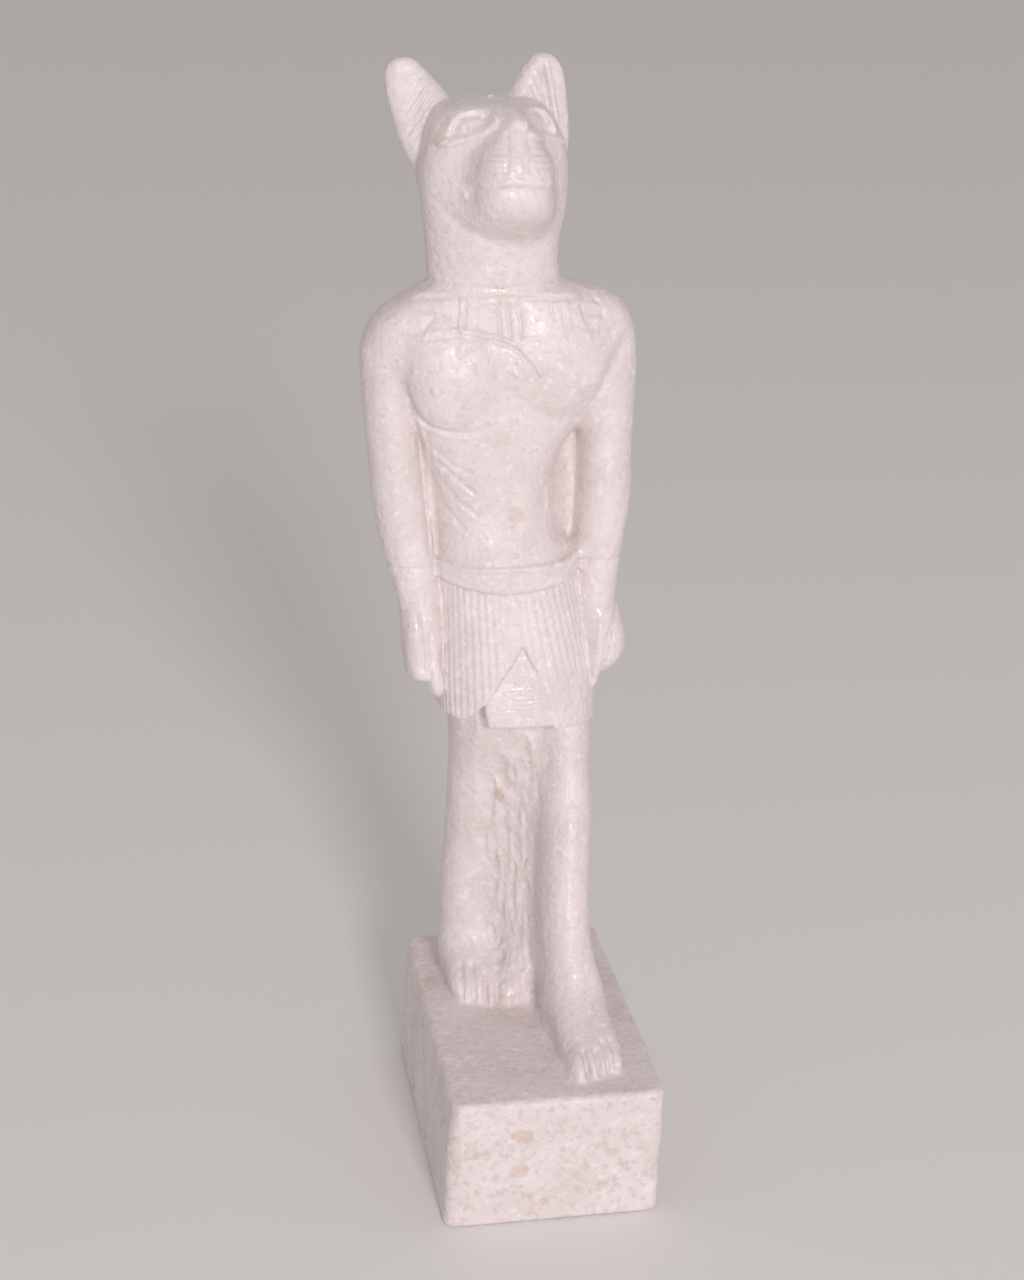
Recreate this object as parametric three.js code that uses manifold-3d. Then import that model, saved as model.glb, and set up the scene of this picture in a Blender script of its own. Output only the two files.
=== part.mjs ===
// A striding cat-headed goddess carved with its plinth from one block of pale polished stone.
//
// The figure faces -Y, +X is its own left and +Z is up. The origin is the middle of the
// plinth's underside. The left leg strides forward, both arms hang with closed fists, and the
// stone between the legs and between arms and waist was never cut through.
//
// Every form is a skin through a few cross-sections. A section row reads
//   [level, across, away, half width, half depth, squareness]
// where level runs along the form, squareness 2 is an ellipse and larger values are boxier.
// Rows are drawn for a figure DRAWN_HEIGHT tall, measured from the top of the plinth, and the
// finished figure is scaled from there to FIGURE_HEIGHT.

import * as THREE from "three";
import { ParametricGeometry } from "three/addons/geometries/ParametricGeometry.js";
import { mergeVertices } from "three/addons/utils/BufferGeometryUtils.js";
import Module from "manifold-3d";

const wasm = await Module();
wasm.setup();

// Driving dimensions, in millimetres and degrees.
const FIGURE_HEIGHT = 262.6; // top of plinth to ear tips
const PLINTH_HEIGHT = 37.4;
const PLINTH_TOE_MARGIN = 7.3; // stone in front of the leading toes
const PLINTH_HEEL_MARGIN = 13.5; // stone behind the trailing heel
const PLINTH_RIGHT_MARGIN = 8.9; // stone beside the right foot
const PLINTH_LEFT_MARGIN = 8.6; // stone beside the left foot
const PLINTH_EDGE = 2.2; // worn round of every edge
const PLINTH_CORNER = 4; // worn round of the upright corners
const PLINTH_SKEW = 1.7; // the underside sits this far towards -X of the top
const PLINTH_SPREAD = 0.45; // and is this much wider to each side
const LEAN = 2; // the figure leans this far towards its right
const FACE_TURN = 5; // the face is turned this far towards its left
const FACE_ROLL = 4; // and its left side is carried this much higher
const FACE_ACROSS = 1.1; // and it sits this far towards the left of the skull's middle
const SEAT_DEPTH = 2; // how far feet and web are sunk into the plinth's solid

const PLEAT_COUNT = 66;
const PLEAT_DEPTH = 0.5;
const BELT_PROUD = 1.1;
const APRON_SUNK = 0.6; // the front panel lies this far under the pleats
const APRON_TUCK = 0.3; // and reaches this far under their cut edges
const COLLAR_PROUD = 0.5;
const BRACELET_PROUD = 0.3;

// Levels of the drawn figure, above the top of the plinth.
const DRAWN_HEIGHT = 263.5;
const HEM = 87.9;
const HEM_SLOPE = 0.088;
const BELT_LOW = 124.4;
const BELT_HIGH = 131.6;
const BELT_LOW_RISE = 4; // the belt's lower edge climbs this much from the front to the sides
const BELT_HIGH_RISE = 1.4;
const NECK_BASE = 206.5;
const MOUTH = 235;
const TORSO_AWAY = 16; // the body's axis lies this far behind the plinth's middle
const HEAD_AXIS_AWAY = 14;
const AHEAD = -30; // in front of every form above the feet
const APRON_BACK = 10; // how far back the kilt is cut open

const degrees = THREE.MathUtils.degToRad;
const bump = (distance) => (distance < 1 ? (1 - distance * distance) ** 2 : 0);

// A closed solid from a triangle geometry, moved by a matrix: seams are merged and collapsed
// faces dropped.
function solidFrom(geometry, placing) {
  const bare = new THREE.BufferGeometry().setAttribute("position", geometry.attributes.position);
  bare.setIndex(geometry.index);
  const merged = mergeVertices(bare, 1e-4);
  merged.applyMatrix4(placing);
  const corners = merged.index.array;
  const kept = [];
  for (let i = 0; i < corners.length; i += 3) {
    const [a, b, c] = [corners[i], corners[i + 1], corners[i + 2]];
    if (a !== b && b !== c && c !== a) kept.push(a, b, c);
  }
  const mesh = (triangles) =>
    new wasm.Mesh({
      numProp: 3,
      vertProperties: new Float32Array(merged.attributes.position.array),
      triVerts: new Uint32Array(triangles),
    });
  const solid = new wasm.Manifold(mesh(kept));
  if (solid.volume() > 0) return solid;
  const turned = [];
  for (let i = 0; i < kept.length; i += 3) turned.push(kept[i], kept[i + 2], kept[i + 1]);
  return new wasm.Manifold(mesh(turned));
}

// A closed solid through rings of points, each with as many as the first. A fan from its own
// middle closes each end.
function skin(rings, placing = standing()) {
  const around = rings[0].length;
  const middleOf = (ring) => {
    const sum = ring.reduce((all, point) => all.add(point), new THREE.Vector3());
    return sum.divideScalar(around);
  };
  const ends = [middleOf(rings[0]), middleOf(rings.at(-1))];
  const place = (u, v, target) => {
    const row = Math.round(v * (rings.length + 1));
    if (row === 0) target.copy(ends[0]);
    else if (row > rings.length) target.copy(ends[1]);
    else target.copy(rings[row - 1][Math.round(u * around) % around]);
  };
  return solidFrom(new ParametricGeometry(place, around, rings.length + 1), placing);
}

// One point of a rounded section, at an angle, before it is placed.
function sectionPoint(angle, halfWidth, halfDepth, squareness) {
  const shaped = (v) => Math.sign(v) * Math.abs(v) ** (2 / squareness);
  return [halfWidth * shaped(Math.cos(angle)), halfDepth * shaped(Math.sin(angle))];
}

// Carries a section through the rows. relief(x, away, level, angle) pushes the skin outwards,
// and reshape(point) may move a finished point. Forms run up the Z axis, or along Y when lying.
function loft(rows, { around = 16, rings = 12, lying = false, relief, reshape, placing }) {
  const centres = new THREE.CatmullRomCurve3(rows.map(([l, a, d]) => new THREE.Vector3(a, d, l)));
  const sizes = new THREE.CatmullRomCurve3(
    rows.map(([, , , w, d, n = 2]) => new THREE.Vector3(w, d, n)),
  );
  const ringAt = (row) => {
    const centre = centres.getPoint(row / (rings - 1));
    const size = sizes.getPoint(row / (rings - 1));
    return Array.from({ length: around }, (_, step) => {
      const angle = (2 * Math.PI * step) / around;
      let [x, away] = sectionPoint(angle, size.x, size.y, size.z);
      if (relief) {
        const reach = Math.hypot(x, away);
        const push = 1 + relief(centre.x + x, centre.y + away, centre.z, angle) / reach;
        [x, away] = [x * push, away * push];
      }
      const point = new THREE.Vector3(centre.x + x, centre.y + away, centre.z);
      if (lying) point.set(centre.x + x, centre.z, centre.y + away);
      if (reshape) reshape(point);
      return point;
    });
  };
  return skin(Array.from({ length: rings }, (_, row) => ringAt(row)), placing);
}

const grown = (rows, by) => rows.map(([l, a, d, w, t, n]) => [l, a, d, w + by, t + by, n]);
const scaled = FIGURE_HEIGHT / DRAWN_HEIGHT;

// Scales the drawn figure to its height, leans it and stands it on the plinth.
function standing() {
  const slope = Math.tan(degrees(LEAN));
  const { shift } = plinthPlan();
  return new THREE.Matrix4()
    .makeTranslation(shift.x, shift.y, PLINTH_HEIGHT)
    .multiply(new THREE.Matrix4().makeShear(0, 0, 0, 0, -slope, 0))
    .multiply(new THREE.Matrix4().makeScale(scaled, scaled, scaled));
}

// An egg-shaped lump, turned about the Y axis.
function lump(at, half, { tilt = 0, around = 10, rings = 7 } = {}) {
  const geometry = new THREE.SphereGeometry(1, around, rings);
  geometry.rotateX(Math.PI / 2);
  geometry.scale(...half);
  geometry.rotateY(degrees(tilt));
  geometry.translate(...at);
  return solidFrom(geometry, standing());
}

// A flat outline in X and Z, carried through the figure from front to back.
function prism(points, near, far) {
  const outline = new THREE.Shape(points.map(([x, z]) => new THREE.Vector2(x, z)));
  const geometry = new THREE.ExtrudeGeometry(outline, { depth: far - near, bevelEnabled: false });
  geometry.rotateX(Math.PI / 2);
  geometry.translate(0, far, 0);
  return solidFrom(geometry, standing());
}

// Legs: the right stands under the body, the left strides forward as it goes down.
const RIGHT_LEG = [
  [-SEAT_DEPTH, -12, 27, 8.6, 9],
  [8, -12, 27, 8.2, 8.6],
  [17, -12, 26.5, 8, 8.2],
  [27, -12.2, 26, 7.6, 8.6],
  [36, -11.8, 26, 7.4, 9.4],
  [48, -10.9, 25, 7, 9.6],
  [60, -10.2, 24, 6.8, 9.4],
  [72, -9.6, 21.8, 6.9, 10.2],
  [84, -9, 19, 7.6, 11.6],
  [98, -8.6, 17, 8.4, 12.6],
];
const LEFT_LEG = [
  [-SEAT_DEPTH, 12, -13.5, 7.6, 9],
  [8, 11.9, -12.5, 7.4, 8.6],
  [17, 11.5, -10.5, 7, 7.8],
  [27, 11.2, -7.5, 6.4, 7.6],
  [36, 11.4, -5, 6.5, 8.2],
  [48, 12.4, -1.5, 6.8, 8.8],
  [60, 13.5, 2.5, 7, 8.8],
  [72, 14.1, 6, 7, 9.2],
  [84, 14.4, 9.5, 7.4, 9.8],
  [100, 13.5, 13, 8.4, 10.8],
];
// The uncut stone between the legs. At each level its front runs from beside the right leg to a
// corner, and from there to the left leg: [level, x, away, corner x, corner away, x, away].
const WEB_FRONT = [
  [-SEAT_DEPTH, -6.5, 19, 4, 4, 6, -12],
  [8, -6.5, 18.5, 4, 5, 6, -11],
  [24, -6.5, 17, 4, 7, 6, -7.5],
  [36, -6.5, 16, 4, 7.6, 6.6, -4],
  [60, -6.5, 13.6, 3.7, 8, 8, 3.4],
  [84, -6, 8.6, 3.7, 5.6, 8.6, 5.2],
  [103, -6, 5, 3.7, 3.2, 8.6, 3],
];
const WEB_BACK = 30.5;
const WEB_HALF_WIDTH = 9.5;
const WEB_SHOULDER = 2; // how far the first face's stone falls back past the corner
// The heap of rough stone at the web's foot.
const HEAP = { at: [0.8, 13, 2], half: [7.4, 10.5, 14] };

function legForms() {
  const corners = (level, ...pairs) => pairs.map(([x, away]) => new THREE.Vector3(x, away, level));
  const behindFirst = ([level, x0, y0, x1, y1]) => {
    const start = y0 + ((y1 - y0) / (x1 - x0)) * (-WEB_HALF_WIDTH - x0);
    const shoulder = [WEB_HALF_WIDTH, y1 + WEB_SHOULDER];
    const back = [[WEB_HALF_WIDTH, WEB_BACK], [-WEB_HALF_WIDTH, WEB_BACK]];
    return corners(level, [-WEB_HALF_WIDTH, start], [x1, y1], shoulder, ...back);
  };
  const behindSecond = ([level, , , x1, y1, x2, y2]) => {
    const back = [[WEB_HALF_WIDTH, WEB_BACK], [x1, WEB_BACK]];
    return corners(level, [x1, y1], [x2, y2], [WEB_HALF_WIDTH, y2], ...back);
  };
  return [
    loft(RIGHT_LEG, { around: 14, rings: 12 }),
    loft(LEFT_LEG, { around: 14, rings: 12 }),
    skin(WEB_FRONT.map(behindFirst)),
    skin(WEB_FRONT.map(behindSecond)),
    lump(HEAP.at, HEAP.half, { around: 10, rings: 6 }),
  ];
}

// Feet lie along Y: [y, x, height of the instep, half width], the sole sunk in the plinth.
// A toe row is [x, tip y, half width].
const RIGHT_FOOT = [
  [38, -12, 5, 5],
  [35, -12, 10, 7.6],
  [28, -12, 19, 8.4],
  [21, -11.8, 16.4, 8.8],
  [16, -11.4, 12.2, 9],
  [12.4, -11.2, 8.2, 8.8],
  [10, -11, 4.6, 8],
];
const LEFT_FOOT = [
  [-2, 12, 5, 5],
  [-5, 12, 10, 7.2],
  [-12, 12, 18.4, 7.7],
  [-20, 12.2, 14.4, 8.2],
  [-27, 12.6, 10, 8.6],
  [-31.6, 13, 6.6, 8.2],
  [-34.6, 13.2, 3.6, 7.2],
];
const RIGHT_TOES = [
  [-5, 2.5, 2.9],
  [-9.3, 3.4, 2.1],
  [-12.5, 5, 2],
  [-15.5, 7.4, 1.9],
  [-18.2, 10.8, 1.8],
];
const LEFT_TOES = [
  [7.4, -43.4, 3.3],
  [11.7, -41.6, 2.2],
  [14.8, -40, 2],
  [17.6, -37.8, 1.9],
  [19.9, -34.6, 1.8],
];
const TOE_LENGTH = 16;
const TOE_HEIGHT = 5.6;

function footForms(rows, toes) {
  const sections = rows.map(([y, x, top, halfWidth]) => {
    const halfHeight = (top + SEAT_DEPTH) / 2;
    return [y, x, top - halfHeight, halfWidth, halfHeight, 2.2];
  });
  const half = TOE_LENGTH / 2;
  return [
    loft(sections, { around: 12, rings: 8, lying: true }),
    ...toes.map(([x, tip, w]) => {
      return lump([x, tip + half, 0], [w, half, TOE_HEIGHT], { around: 8, rings: 5 });
    }),
  ];
}

// The kilt: a pleated skin, cut open in front over a flat panel that ends in a hanging tab.
const KILT = [
  [HEM - 8, 1.6, 13.8, 21.2, 19, 2.5],
  [90, 1.5, 14, 21.7, 18.8, 2.5],
  [100, 1.5, 14.5, 21.6, 18, 2.5],
  [112, 1.3, 15.5, 20.9, 16.6, 2.4],
  [BELT_LOW + 6, 0.5, 16, 19.4, 14.2, 2.4],
];
const BELT = [
  [BELT_LOW, 0.6, 16, 20.4, 15, 2.4],
  [(BELT_LOW + BELT_HIGH) / 2, 0.4, 16, 20.1, 14.8, 2.4],
  [BELT_HIGH, 0.2, 16, 19.6, 14.5, 2.3],
];
const APRON_APEX = [2, 109.4];
const APRON_LEFT = [[5.4, 102.4], [8, 95.7], [9, 87.6]];
const APRON_RIGHT = [[-7, 96.2], [-8.8, 94], [-8.7, 91], [-7.2, 87.6]];
const WING_CURL = 6.5; // the hem curls up this much beside the tab
const WING_MIDDLE = -6;
const WING_REACH = 10;

// The hem drops towards the leading leg, and curls up to the tab in front.
function hemLevel(x, away) {
  const inFront = away < TORSO_AWAY ? 1 : 0;
  return HEM - HEM_SLOPE * x + WING_CURL * inFront * bump(Math.abs(x - WING_MIDDLE) / WING_REACH);
}

function kiltForms() {
  const low = KILT[0][0];
  const high = KILT.at(-1)[0];
  const pleats = (x, away, level, angle) => (PLEAT_DEPTH / 2) * Math.cos(PLEAT_COUNT * angle);
  const gather = (point) => {
    const share = (point.z - low) / (high - low);
    point.z = THREE.MathUtils.lerp(hemLevel(point.x, point.y), high, share);
  };
  const skirt = loft(KILT, { around: PLEAT_COUNT * 2, rings: 3, relief: pleats, reshape: gather });
  const [leftFoot, rightFoot] = [APRON_LEFT.at(-1), APRON_RIGHT.at(-1)];
  const tuck = ([x, level]) => [x + Math.sign(x) * APRON_TUCK, level];
  const opening = prism(
    [APRON_APEX, ...APRON_LEFT, [leftFoot[0], low], [rightFoot[0], low], ...APRON_RIGHT.toReversed()],
    AHEAD,
    APRON_BACK,
  );
  const apron = prism(
    [APRON_APEX, ...APRON_LEFT.map(tuck), ...APRON_RIGHT.toReversed().map(tuck)],
    AHEAD,
    TORSO_AWAY,
  );
  const panel = loft(grown(KILT, -APRON_SUNK), { around: 36, rings: 3 });
  const curved = (point) => {
    const share = (point.z - BELT_LOW) / (BELT_HIGH - BELT_LOW);
    const rise = THREE.MathUtils.lerp(BELT_LOW_RISE, BELT_HIGH_RISE, share);
    point.z += rise * (point.x / BELT[0][3]) ** 2;
  };
  const belt = loft(grown(BELT, BELT_PROUD), { around: 32, rings: 3, reshape: curved });
  return [skirt.subtract(opening), panel.intersect(apron), belt];
}

// The torso with the breasts, the stone left between waist and arms, and the round collar.
const TORSO = [
  [118, 0.3, 16, 18.5, 13.5, 2.2],
  [130, 0, 16, 18.6, 13.4, 2.2],
  [136, -1.6, 16, 17.2, 13, 2.1],
  [142, -2.4, 16.2, 16.4, 12.8, 2.1],
  [154, -2.6, 16.2, 17, 13, 2.2],
  [164, -1.6, 16, 20.5, 13.6, 2.3],
  [172, -0.6, 16, 25.2, 14.2, 2.5],
  [180, 0, 16, 29, 14.6, 2.6],
  [188, 0, 16, 31, 14.4, 2.6],
  [195, 0.4, 16, 31.2, 13.8, 2.5],
  [199, 1.4, 16, 29.8, 13.4, 2.5],
  [202.4, 2, 16, 26.8, 13, 2.4],
  [204.5, 1.4, 16, 22.4, 12.9, 2.3],
  [206.5, 0.7, 16, 18.2, 12.6, 2.1],
  [208, 0.2, 16, 16, 12.4, 2.1],
];
const BACK_SLAB = [
  [97, 0, 18.5, 21, 5, 3],
  [130, -1, 24.6, 25, 5.4, 3],
  [160, -1, 24.6, 28, 5.4, 3],
  [186, 0, 18.5, 30, 7, 3],
];
const RIGHT_SLAB = [
  [110, -11, 18.5, 13, 6, 3],
  [130, -13, 18.8, 13, 6.2, 3],
  [160, -15, 18.8, 13, 6.2, 3],
  [180, -15, 18.5, 13.5, 6.6, 3],
];
// The left flank slopes back to the arm: its front edge in x and away, and how steeply.
const FLANK = { x: 12.4, away: 10.6, slope: 1.4, back: 24, low: 126, high: 178 };
const BREAST_RIGHT = { at: [-12.8, 5.4, 182.6], half: [12.4, 6.4, 14] };
const BREAST_LEFT = { at: [13.8, 6, 185.4], half: [13.4, 5.4, 14] };
const COLLAR = { halfWidth: 27, drop: 18, level: NECK_BASE + 3 };

function flank() {
  const { x, away, slope, back, low, high } = FLANK;
  const ring = (level) => [
    new THREE.Vector3(x, away, level),
    new THREE.Vector3(x + (back - away) / slope, back, level),
    new THREE.Vector3(x, back, level),
  ];
  return skin([ring(low), ring(high)]);
}

function torsoForms() {
  const over = loft(grown(TORSO, COLLAR_PROUD), { around: 26, rings: 11 });
  const disc = new THREE.CylinderGeometry(1, 1, 2 * (TORSO_AWAY - AHEAD), 26);
  disc.scale(COLLAR.halfWidth, 1, COLLAR.drop);
  disc.translate(0, TORSO_AWAY, COLLAR.level);
  return [
    loft(TORSO, { around: 26, rings: 13 }),
    loft(BACK_SLAB, { around: 12, rings: 4 }),
    loft(RIGHT_SLAB, { around: 12, rings: 4 }),
    flank(),
    over.intersect(solidFrom(disc, standing())),
    lump(BREAST_RIGHT.at, BREAST_RIGHT.half, { around: 16, rings: 9 }),
    lump(BREAST_LEFT.at, BREAST_LEFT.half, { around: 16, rings: 9 }),
  ];
}

// Arms hang from the shoulders, bend a little forward, and end in closed fists.
const RIGHT_ARM = [
  [203.5, -19.5, 16, 2.6, 5],
  [201, -22.6, 16, 5, 7],
  [197, -25.6, 16, 7.2, 8.6],
  [190, -28, 16, 8, 9.4],
  [178, -28.8, 16, 7.5, 9.2],
  [162, -28.7, 15.4, 7, 8.4],
  [148, -27.9, 14.4, 7.2, 7.8],
  [136, -26.4, 13.4, 7, 7.1],
  [124, -24.4, 12.2, 6.2, 6.4],
  [117, -23.6, 11.6, 5.8, 6.4],
  [110, -23.4, 11, 5.8, 6.8],
];
const LEFT_ARM = [
  [203.5, 25, 16, 4, 5.5],
  [201, 27.2, 16, 5.8, 7.4],
  [197, 28.6, 16, 7.2, 8.8],
  [190, 29.2, 16, 8.2, 9.4],
  [178, 29.6, 16, 7.7, 9.2],
  [162, 28.9, 15.4, 7, 8.4],
  [148, 28.2, 14.4, 7.1, 7.8],
  [134, 26, 13.2, 6.5, 7],
  [124, 24.6, 12.2, 6.1, 6.4],
  [117, 23.6, 11.6, 5.8, 6.4],
  [110, 23.4, 11, 5.8, 6.8],
];
const BRACELET_LOW = 119;
const BRACELET_HIGH = 131;
const RIGHT_FIST = [
  [121, -23.4, 11.8, 4.8, 5.6],
  [117, -23.8, 11.2, 5.1, 6.8, 2.4],
  [110, -24, 10.6, 5.3, 8, 2.8],
  [103.5, -24, 10.2, 5.2, 8.4, 2.8],
  [101, -24, 10, 4.9, 8, 2.6],
  [99.8, -24, 10, 4, 6.6, 2.4],
];
const RIGHT_THUMB = { at: [-21.4, 4.4, 100.4], half: [2.4, 3.4, 5.6], tilt: 8 };
const RIGHT_FINGER = { at: [-20.6, 7, 98.4], half: [2.2, 5, 3.6], tilt: 0 };
const LEFT_FIST = [
  [120.5, 23.8, 11.8, 5, 5.8],
  [116.5, 25, 11.2, 5.6, 6.8, 2.3],
  [111, 26, 10.6, 6.1, 8, 2.4],
  [105.4, 25.8, 10.2, 6, 8.4, 2.4],
  [102.2, 24.8, 10, 4.8, 8, 2.3],
  [100.2, 24.4, 10, 3.4, 6.4, 2.2],
];
const LEFT_HEEL = { at: [23.4, 7.4, 106], half: [2.4, 5.6, 12], tilt: -7 };
const FINGER_GROOVE = 0.5;
const FINGER_PITCH = 4.2;
const FINGER_FIRST = 8.1; // away of the first furrow

function armForms(arm, fist, lumps) {
  const side = Math.sign(arm[0][1]);
  const bracelet = (x, away, level) => {
    return level > BRACELET_LOW && level < BRACELET_HIGH ? BRACELET_PROUD : 0;
  };
  const fingers = (x, away, level) => {
    const outward = side * x > 25 && level < 114 ? 1 : 0;
    const furrow = Math.max(0, Math.cos((2 * Math.PI * (away - FINGER_FIRST)) / FINGER_PITCH));
    return -FINGER_GROOVE * outward * furrow;
  };
  return [
    loft(arm, { around: 14, rings: 15, relief: bracelet }),
    loft(fist, { around: 20, rings: 7, relief: fingers }),
    ...lumps.map(({ at, half, tilt }) => lump(at, half, { tilt, around: 9, rings: 6 })),
  ];
}

// The cat's head: a broad neck, a flat skull, tall ears, and a wedge of a muzzle.
const HEAD = [
  [203, 0, 16, 17.4, 12.8, 2.1],
  [NECK_BASE, -0.2, 15.5, 17.6, 13, 2.1],
  [213, -0.6, 15, 17.3, 13.2, 2.1],
  [219, -0.4, 14.5, 17.8, 13.8, 2.1],
  [226, 0.1, 13.5, 18.8, 15, 2.2],
  [233, 0.1, 13, 19.3, 15.6, 2.3],
  [240, 0.2, 13, 19, 15.6, 2.3],
  [244.4, 0.2, 13.4, 17.9, 15.4, 2.25],
  [248.2, 0.2, 14, 16.1, 14.8, 2.2],
  [250.8, 0.1, 14.8, 14, 13.6, 2.15],
  [252.4, 0, 15.6, 11.2, 11.2, 2.1],
  [253.2, 0, 16, 6, 6, 2],
];
const RIGHT_EAR = [
  [228, -14.4, 20, 3, 4],
  [235, -15.4, 20.5, 4.6, 5.4],
  [241, -16.5, 21, 6, 6],
  [247, -16.7, 21.5, 7.4, 6],
  [252, -17, 22, 8.2, 5.4],
  [257, -19.1, 22.5, 6.6, 4.4],
  [260, -20.2, 23, 5, 3.2],
  [262, -20.5, 23, 3.1, 2],
  [262.9, -20.4, 23, 1.2, 0.8],
];
const LEFT_EAR = [
  [228, 14.6, 20, 3.6, 4],
  [235, 15.2, 20.5, 5.4, 5.4],
  [241, 15.2, 21, 6.2, 6],
  [247, 14.5, 21.5, 7.2, 6],
  [252, 13.6, 22, 8, 5.4],
  [257, 14.6, 22.5, 6.5, 4.4],
  [260.4, 15.4, 23, 4.8, 3.3],
  [262.6, 15.6, 23, 2.9, 2],
  [DRAWN_HEIGHT, 15.6, 23, 1, 0.7],
];
const EAR_HOLLOW = 2.2;
const EAR_HOLLOW_LOW = 236;
const EAR_HOLLOW_FULL = 246;
const EAR_HOLLOW_CLOSING = 257.5;
const EAR_HOLLOW_HIGH = 263;
const EAR_HOLLOW_AHEAD = -90; // degrees round the ear, straight ahead
const EAR_HOLLOW_TURN = 14;
const EAR_HOLLOW_SPREAD = 1.15;
// From under the chin up to the brow, broad and blunt at the mouth.
const MUZZLE = [
  [217.6, 1.4, 9.6, 7, 7, 2],
  [220, 1.2, 8, 9.8, 9.6, 2],
  [222.4, 0.9, 5.4, 11, 12.2, 2.1],
  [225, 0.7, 3.4, 11.4, 14, 2.2],
  [228.6, 0.5, 2.4, 11.4, 14.6, 2.3],
  [232, 0.4, 2, 11.2, 14.6, 2.4],
  [234.4, 0.3, 2, 10.6, 14.2, 2.5],
  [238, 0.2, 2, 10.2, 14.6, 2.6],
  [241.6, 0, 2, 8.8, 13.4, 2.5],
  [245, 0, 2.4, 6.6, 11.8, 2.4],
  [248.6, 0, 3, 4.2, 10.6, 2.2],
  [251, 0, 3.4, 2.2, 9.4, 2],
  [252, 0, 4, 1, 7, 2],
];
// Along Y: the bridge that joins the muzzle to the brow, and the bar of the nose.
const BRIDGE = [
  [-6.4, 0, 249, 1.6, 1.9],
  [-4, 0, 249.2, 2.4, 2.6],
  [0, -0.6, 249.6, 3.4, 3],
  [5, -1.4, 249.8, 5, 3.2],
];
const NOSE_BAR = [
  [-3, 0.2, 250, 1.2, 1.4, 3],
  [-8, 0.2, 247.4, 1.7, 1.8, 3],
  [-11.2, 0.2, 243, 2.2, 1.9, 3],
  [-13, 0.2, 239, 2.5, 1.5, 3],
];
const RIGHT_EYE = { at: [-7.3, 2, 248.6], half: [5.8, 2.6, 2.7], tilt: -25 };
const RIGHT_BROW = { at: [-6.6, 3.2, 251.4], half: [5.4, 2.4, 1.2], tilt: -16 };
const LEFT_EYE = { at: [10.6, 3.4, 249.2], half: [4.4, 2.6, 3], tilt: 10 };
const LEFT_BROW = { at: [11, 4.6, 251.8], half: [4.2, 2.2, 1.2], tilt: 10 };

// Turns and rolls a form about the head's axis at the mouth, then stands it with the figure.
function facing() {
  return standing()
    .multiply(new THREE.Matrix4().makeTranslation(FACE_ACROSS, HEAD_AXIS_AWAY, MOUTH))
    .multiply(new THREE.Matrix4().makeRotationZ(degrees(FACE_TURN)))
    .multiply(new THREE.Matrix4().makeRotationY(degrees(-FACE_ROLL)))
    .multiply(new THREE.Matrix4().makeTranslation(0, -HEAD_AXIS_AWAY, -MOUTH));
}

function faceForms() {
  const placing = facing();
  return [
    loft(MUZZLE, { around: 18, rings: 11, placing }),
    loft(BRIDGE, { around: 12, rings: 4, lying: true, placing }),
    loft(NOSE_BAR, { around: 8, rings: 4, lying: true, placing }),
    ...[RIGHT_EYE, RIGHT_BROW, LEFT_EYE, LEFT_BROW].map(({ at, half, tilt }) => {
      return lump(at, half, { tilt });
    }),
  ];
}

function headForms() {
  const hollow = (side) => (x, away, level, angle) => {
    const ahead = angle - degrees(EAR_HOLLOW_AHEAD + side * EAR_HOLLOW_TURN);
    const turned = Math.atan2(Math.sin(ahead), Math.cos(ahead));
    const deepens = THREE.MathUtils.smoothstep(level, EAR_HOLLOW_LOW, EAR_HOLLOW_FULL);
    const closes = 1 - THREE.MathUtils.smoothstep(level, EAR_HOLLOW_CLOSING, EAR_HOLLOW_HIGH);
    return -EAR_HOLLOW * deepens * closes * bump(Math.abs(turned) / EAR_HOLLOW_SPREAD);
  };
  return [
    loft(HEAD, { around: 24, rings: 13 }),
    loft(RIGHT_EAR, { around: 16, rings: 9, relief: hollow(-1) }),
    loft(LEFT_EAR, { around: 16, rings: 9, relief: hollow(1) }),
    ...faceForms(),
  ];
}

// The plinth runs round both feet with its margins. Its plan is measured at half its height,
// where its middle lies over the origin.
function plinthPlan() {
  const front = Math.min(...LEFT_TOES.map(([, tip]) => tip)) * scaled - PLINTH_TOE_MARGIN;
  const back = RIGHT_FOOT[0][0] * scaled + PLINTH_HEEL_MARGIN;
  const [rightToe, leftToe] = [RIGHT_TOES.at(-1), LEFT_TOES.at(-1)];
  const right = (rightToe[0] - rightToe[2]) * scaled - PLINTH_RIGHT_MARGIN;
  const left = (leftToe[0] + leftToe[2]) * scaled + PLINTH_LEFT_MARGIN;
  return {
    half: new THREE.Vector2((left - right) / 2, (back - front) / 2),
    shift: new THREE.Vector2((PLINTH_SKEW - left - right) / 2, -(back + front) / 2),
  };
}

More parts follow.
